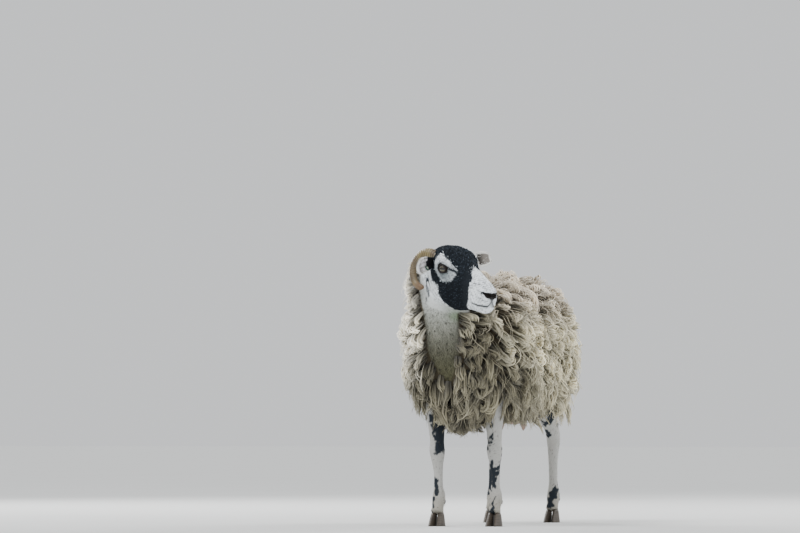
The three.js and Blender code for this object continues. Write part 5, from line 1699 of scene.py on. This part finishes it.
def leg_hair(skin):
    """Close hair down the legs, longer behind the fetlocks."""
    random = np.random.default_rng(31)

    def on_leg(p):
        clear = (skin_field(p) > 6) & (p[:, 2] < 410) & (p[:, 2] > 35)
        not_tail = ~((p[:, 1] > 345) & (np.abs(p[:, 0]) < 45))
        near_udder = np.linalg.norm((p - UDDER_CENTRE) / (70, 80, 84), axis=-1) < 1
        return clear & not_tail & ~near_udder

    roots, outs = hair_roots(skin, 16, 3.4, 19, on_leg)
    n = len(roots)
    behind = smoothstep(outs[:, 1], 0.3, 0.9) * (roots[:, 2] < 110)
    length = mix(5.2, 11.0, behind) * random.uniform(0.75, 1.25, n)
    length = length + 4.5 * (1 - smoothstep(roots[:, 2], 40, 50))
    unroll = np.stack([roots[:, 0] + 0.6 * roots[:, 1], roots[:, 2]], 1)
    return tufts("leg_hair", roots, outs, np.tile([0, 0, -1.0], (n, 1)), length,
                 np.full(n, 0.9), mix(1.1, 4.0, behind), hair_colour(roots), unroll, random)


def ear_hair(word, side):
    """White hair in an ear's cup and a fringe along its edges."""
    random = np.random.default_rng(37 + side)
    out, front, up = ear_axes(side)
    n, within = 1300, 420 if side < 0 else 70  # the right cup is the woolly one
    share = random.uniform(0.1, 0.985, n)
    edge = np.where(random.random(n) < 0.6, 1.0, -1.0)
    in_cup = np.arange(n) < within
    share = np.where(in_cup, 0.25 + 0.6 * share, share)
    q = edge * np.where(in_cup, 0.85 * random.random(n), 1 - 0.3 * random.random(n) ** 2)
    roots = ear_place(side, share, q, np.where(in_cup, EAR["wall"] - 0.5, 1.0))
    over = up * edge[:, None]
    outs = np.where(in_cup[:, None], front, unit(over * 0.8 + front * 0.35 + out * 0.75))
    lie = out + over * 0.5
    length = random.uniform(5, 11, n) * (1 - 0.5 * smoothstep(share, 0.7, 1))
    roots, outs, lie = from_head(roots), outs @ HEAD_AXES.T, lie @ HEAD_AXES.T
    colour = np.tile(linear("#efede8" if side > 0 else "#e0ddd8"), (n, 1))
    dark = ((share < 0.4) & (side < 0))[:, None]
    colour = np.where(dark, BLACK_HAIR * 1.5, colour)
    unroll = np.stack([share * 100, q * 20], 1)
    return tufts(f"ear_fringe_{word}", roots, outs, lie, length, np.full(n, 0.8),
                 random.uniform(1.5, 4, n), colour, unroll, random)


def wisps(skin):
    """Single stray locks that stand out of the fleece, thin and bent by the wind."""
    random = np.random.default_rng(41)
    places, _ = surface_places(skin, 0.5, 43)
    places = places[bears_fleece(places) & (past_or_far(places) > 9)]
    roots = places[thinned(places, WISP_GAP)]
    out = over_skin(roots)[1]
    n = len(roots)
    top, crown = smoothstep(out[:, 2], 0.2, 0.9), smoothstep(roots[:, 2], *CROWN)
    length = 86 * random.uniform(0.7, 1.25, n) * (1 - 0.4 * crown)
    length = np.minimum(length, np.maximum(roots[:, 2] - HEM, SHORTEST))
    depth = FLEECE_DEPTH * random.uniform(0.86, 1.06, n) * (1 - 0.35 * crown)
    turn = 0.55 * random.normal(size=n) * (0.6 + top)
    path, outs = staple_paths(roots, length, depth, turn, random.normal(0, 0.7, n))
    points, tips, _ = strands(path, outs, random, 2, np.full(n, 9.0), np.full(n, 1.15), 4.8,
                              random.normal(0, 16, n), random.uniform(0, FULL_TURN, n))
    colour = np.repeat(fleece_colour(roots, out, random), 2, 0)
    colour = colour * random.uniform(0.75, 1.55, (2 * n, 1))
    shade = np.interp(STEPS, [0, 0.5, 1], [0.6, 1.05, 1.3])
    unroll = np.repeat(round_trunk(roots), 2, 0) + random.normal(0, 3, (2 * n, 2))
    return hair_mesh("wisps", points, tips, colour[:, None] * shade[:, None], unroll)


# ---- Making the ewe ----
HIDE = material("short_hair_hide", short_hair_hide, Roughness=0.88, Specular_IOR_Level=0.2)
WOOL = material("fleece_wool", fleece_wool, Roughness=0.8, Sheen_Weight=0.2, Sheen_Roughness=0.5)
HAIR = material("face_wool", face_wool, Roughness=0.9, Specular_IOR_Level=0.15)
HORNY = material("horn_keratin", horn_keratin, Roughness=0.42, IOR=1.54)
CLAWS = material("claw_keratin", claw_keratin, Roughness=0.55, IOR=1.54)
EYE_WET = material("wet_eye", wet_eye, Roughness=0.05, IOR=1.38, Coat_Weight=1.0,
                   Coat_Roughness=0.02)
LID_BARE = material("moist_lid", moist_lid, Roughness=0.5, Specular_IOR_Level=0.3)
TAGS = [
    material(name, tag_plastic, dark, light, Roughness=0.48, IOR=1.5)
    for name, dark, light in (
        ("tag_plastic_green", "#17352b", "#2f5c49"),
        ("tag_plastic_stud", "#8f9488", "#c9cbc0"),
    )
]
FLOOR_PAINT = material("painted_floor", painted_floor, Roughness=0.9)

skin = make_skin()
skin_points = mesh_points(skin)
add_colour(skin, bare_places(hair_colour(skin_points), skin_points))
finish_piece(skin, HIDE, "face", "head", "neck", "torso", "tail", "udder", *LEGS)

for word, side in SIDES:
    points, faces, gaze = eye_form(side)
    eye = mesh_object(f"eyeball_{word}", points, faces)
    add_attribute(eye, "gaze", gaze)
    finish_piece(eye, EYE_WET, "eye", f"eye_{word}")
    lids = joined(f"lid_rims_{word}", [lid_rim(side, True), lid_rim(side, False)])
    finish_piece(lids, LID_BARE, "face")
    points, faces, facts = ear_form(side)
    ear = mesh_object(f"ear_leaf_{word}", points, faces)
    add_colour(ear, ear_colour(points, facts, side))
    finish_piece(ear, HIDE, "ear", f"ear_{word}")
    points, faces, groove, along, growth = horn_form(side)
    horn = mesh_object(f"horn_ringed_{word}", points, faces)
    add_colour(horn, horn_colour(points, groove, along))
    add_attribute(horn, "growth", growth)
    finish_piece(horn, HORNY, "horn", f"horn_{word}")

for name, (side, _, _) in LEGS.items():
    end, word = name.split("_")
    for hand in (-1, 1):
        place = "outer" if hand == side else "inner"
        claw = joined(f"hoof_{end}_{word}_{place}", [claw_form(name, hand)])
        finish_piece(claw, CLAWS, "claw", f"claw_{end.replace('leg', '')}_{word}_{place}")

for part, form, finish in zip(("tag_button", "tag_stud"), tag_forms(), TAGS):
    finish_piece(joined(part, [form]), finish, "tag", "tag")

for piece in [*fleece_pieces(skin), tail_piece(skin), wisps(skin)]:
    finish_piece(piece, WOOL, "fleece")
for piece in (face_hair(skin), throat_hair(skin)):
    finish_piece(piece, HAIR, "face")
finish_piece(leg_hair(skin), HAIR, "leg")
for word, side in SIDES:
    finish_piece(ear_hair(word, side), HAIR, "ear")


# ---- Floor, light and camera ----
FLOOR_HALF = 60000
WORLD_COLOUR, WORLD_STRENGTH = "#e6e8ea", 1.06
SUN_STRENGTH, SUN_WIDTH, SUN_FROM = 2.0, np.radians(26), (-0.42, -0.62, 1.0)
MIDDLE = Vector((0, 0, 0.45))
LIGHTS = [  # name, place in m, size in m, watts
    ("side", (4.2, -1.2, 2.2), 2.4, 40),
    ("back_right", (2.2, 3.6, 3.0), 1.8, 150),
    ("back_left", (-3.0, 2.6, 2.6), 1.8, 150),
]
WIDTH, HEIGHT, FOCAL = 800, 533, 4200  # pixels
LEVEL_AXIS = (465.3, 431.5)  # the pixel that a level view along the camera's heading meets
DISTANCE, HEADING, SENSOR = 12, np.radians(18), 36
AIM = Vector((0.002, -0.2075, 0.27))


def placed(name, data, place, backwards):
    """A lamp or camera at a place, turned so that it looks against a direction."""
    made = bpy.data.objects.new(name, data)
    bpy.context.scene.collection.objects.link(made)
    made.matrix_world = Vector(backwards).to_track_quat("Z", "Y").to_matrix().to_4x4()
    made.matrix_world.translation = place
    return made


corners = [(x * FLOOR_HALF, y * FLOOR_HALF, 0) for x in (-1, 1) for y in (-1, 1)]
floor = mesh_object("floor", np.array(corners), (np.array([[0, 2, 3, 1]]), np.zeros((0, 3), int)))
floor.data.materials.append(FLOOR_PAINT)

world = bpy.data.worlds.new("pale_room")
bpy.context.scene.world = world
world.use_nodes = True
world.node_tree.nodes["Background"].inputs[0].default_value = (*linear(WORLD_COLOUR), 1)
world.node_tree.nodes["Background"].inputs[1].default_value = WORLD_STRENGTH

sky = bpy.data.lights.new("sky", "SUN")
sky.energy, sky.angle = SUN_STRENGTH, SUN_WIDTH
placed("sky", sky, (0, 0, 0), SUN_FROM)
for name, place, size, watts in LIGHTS:
    lamp = bpy.data.lights.new(name, "AREA")
    lamp.size, lamp.energy = size, watts
    placed(name, lamp, place, Vector(place) - MIDDLE)

right_way = Vector((np.cos(HEADING), np.sin(HEADING), 0))
ahead_way = Vector((-np.sin(HEADING), np.cos(HEADING), 0))
view = ahead_way + right_way * ((WIDTH / 2 - LEVEL_AXIS[0]) / FOCAL)
view = view + Vector((0, 0, (LEVEL_AXIS[1] - HEIGHT / 2) / FOCAL))
camera = placed("camera", bpy.data.cameras.new("camera"), AIM - DISTANCE * ahead_way, -view)
camera.data.sensor_width = SENSOR
camera.data.lens = SENSOR * FOCAL / WIDTH
camera.data.clip_end = 200
bpy.context.scene.camera = camera
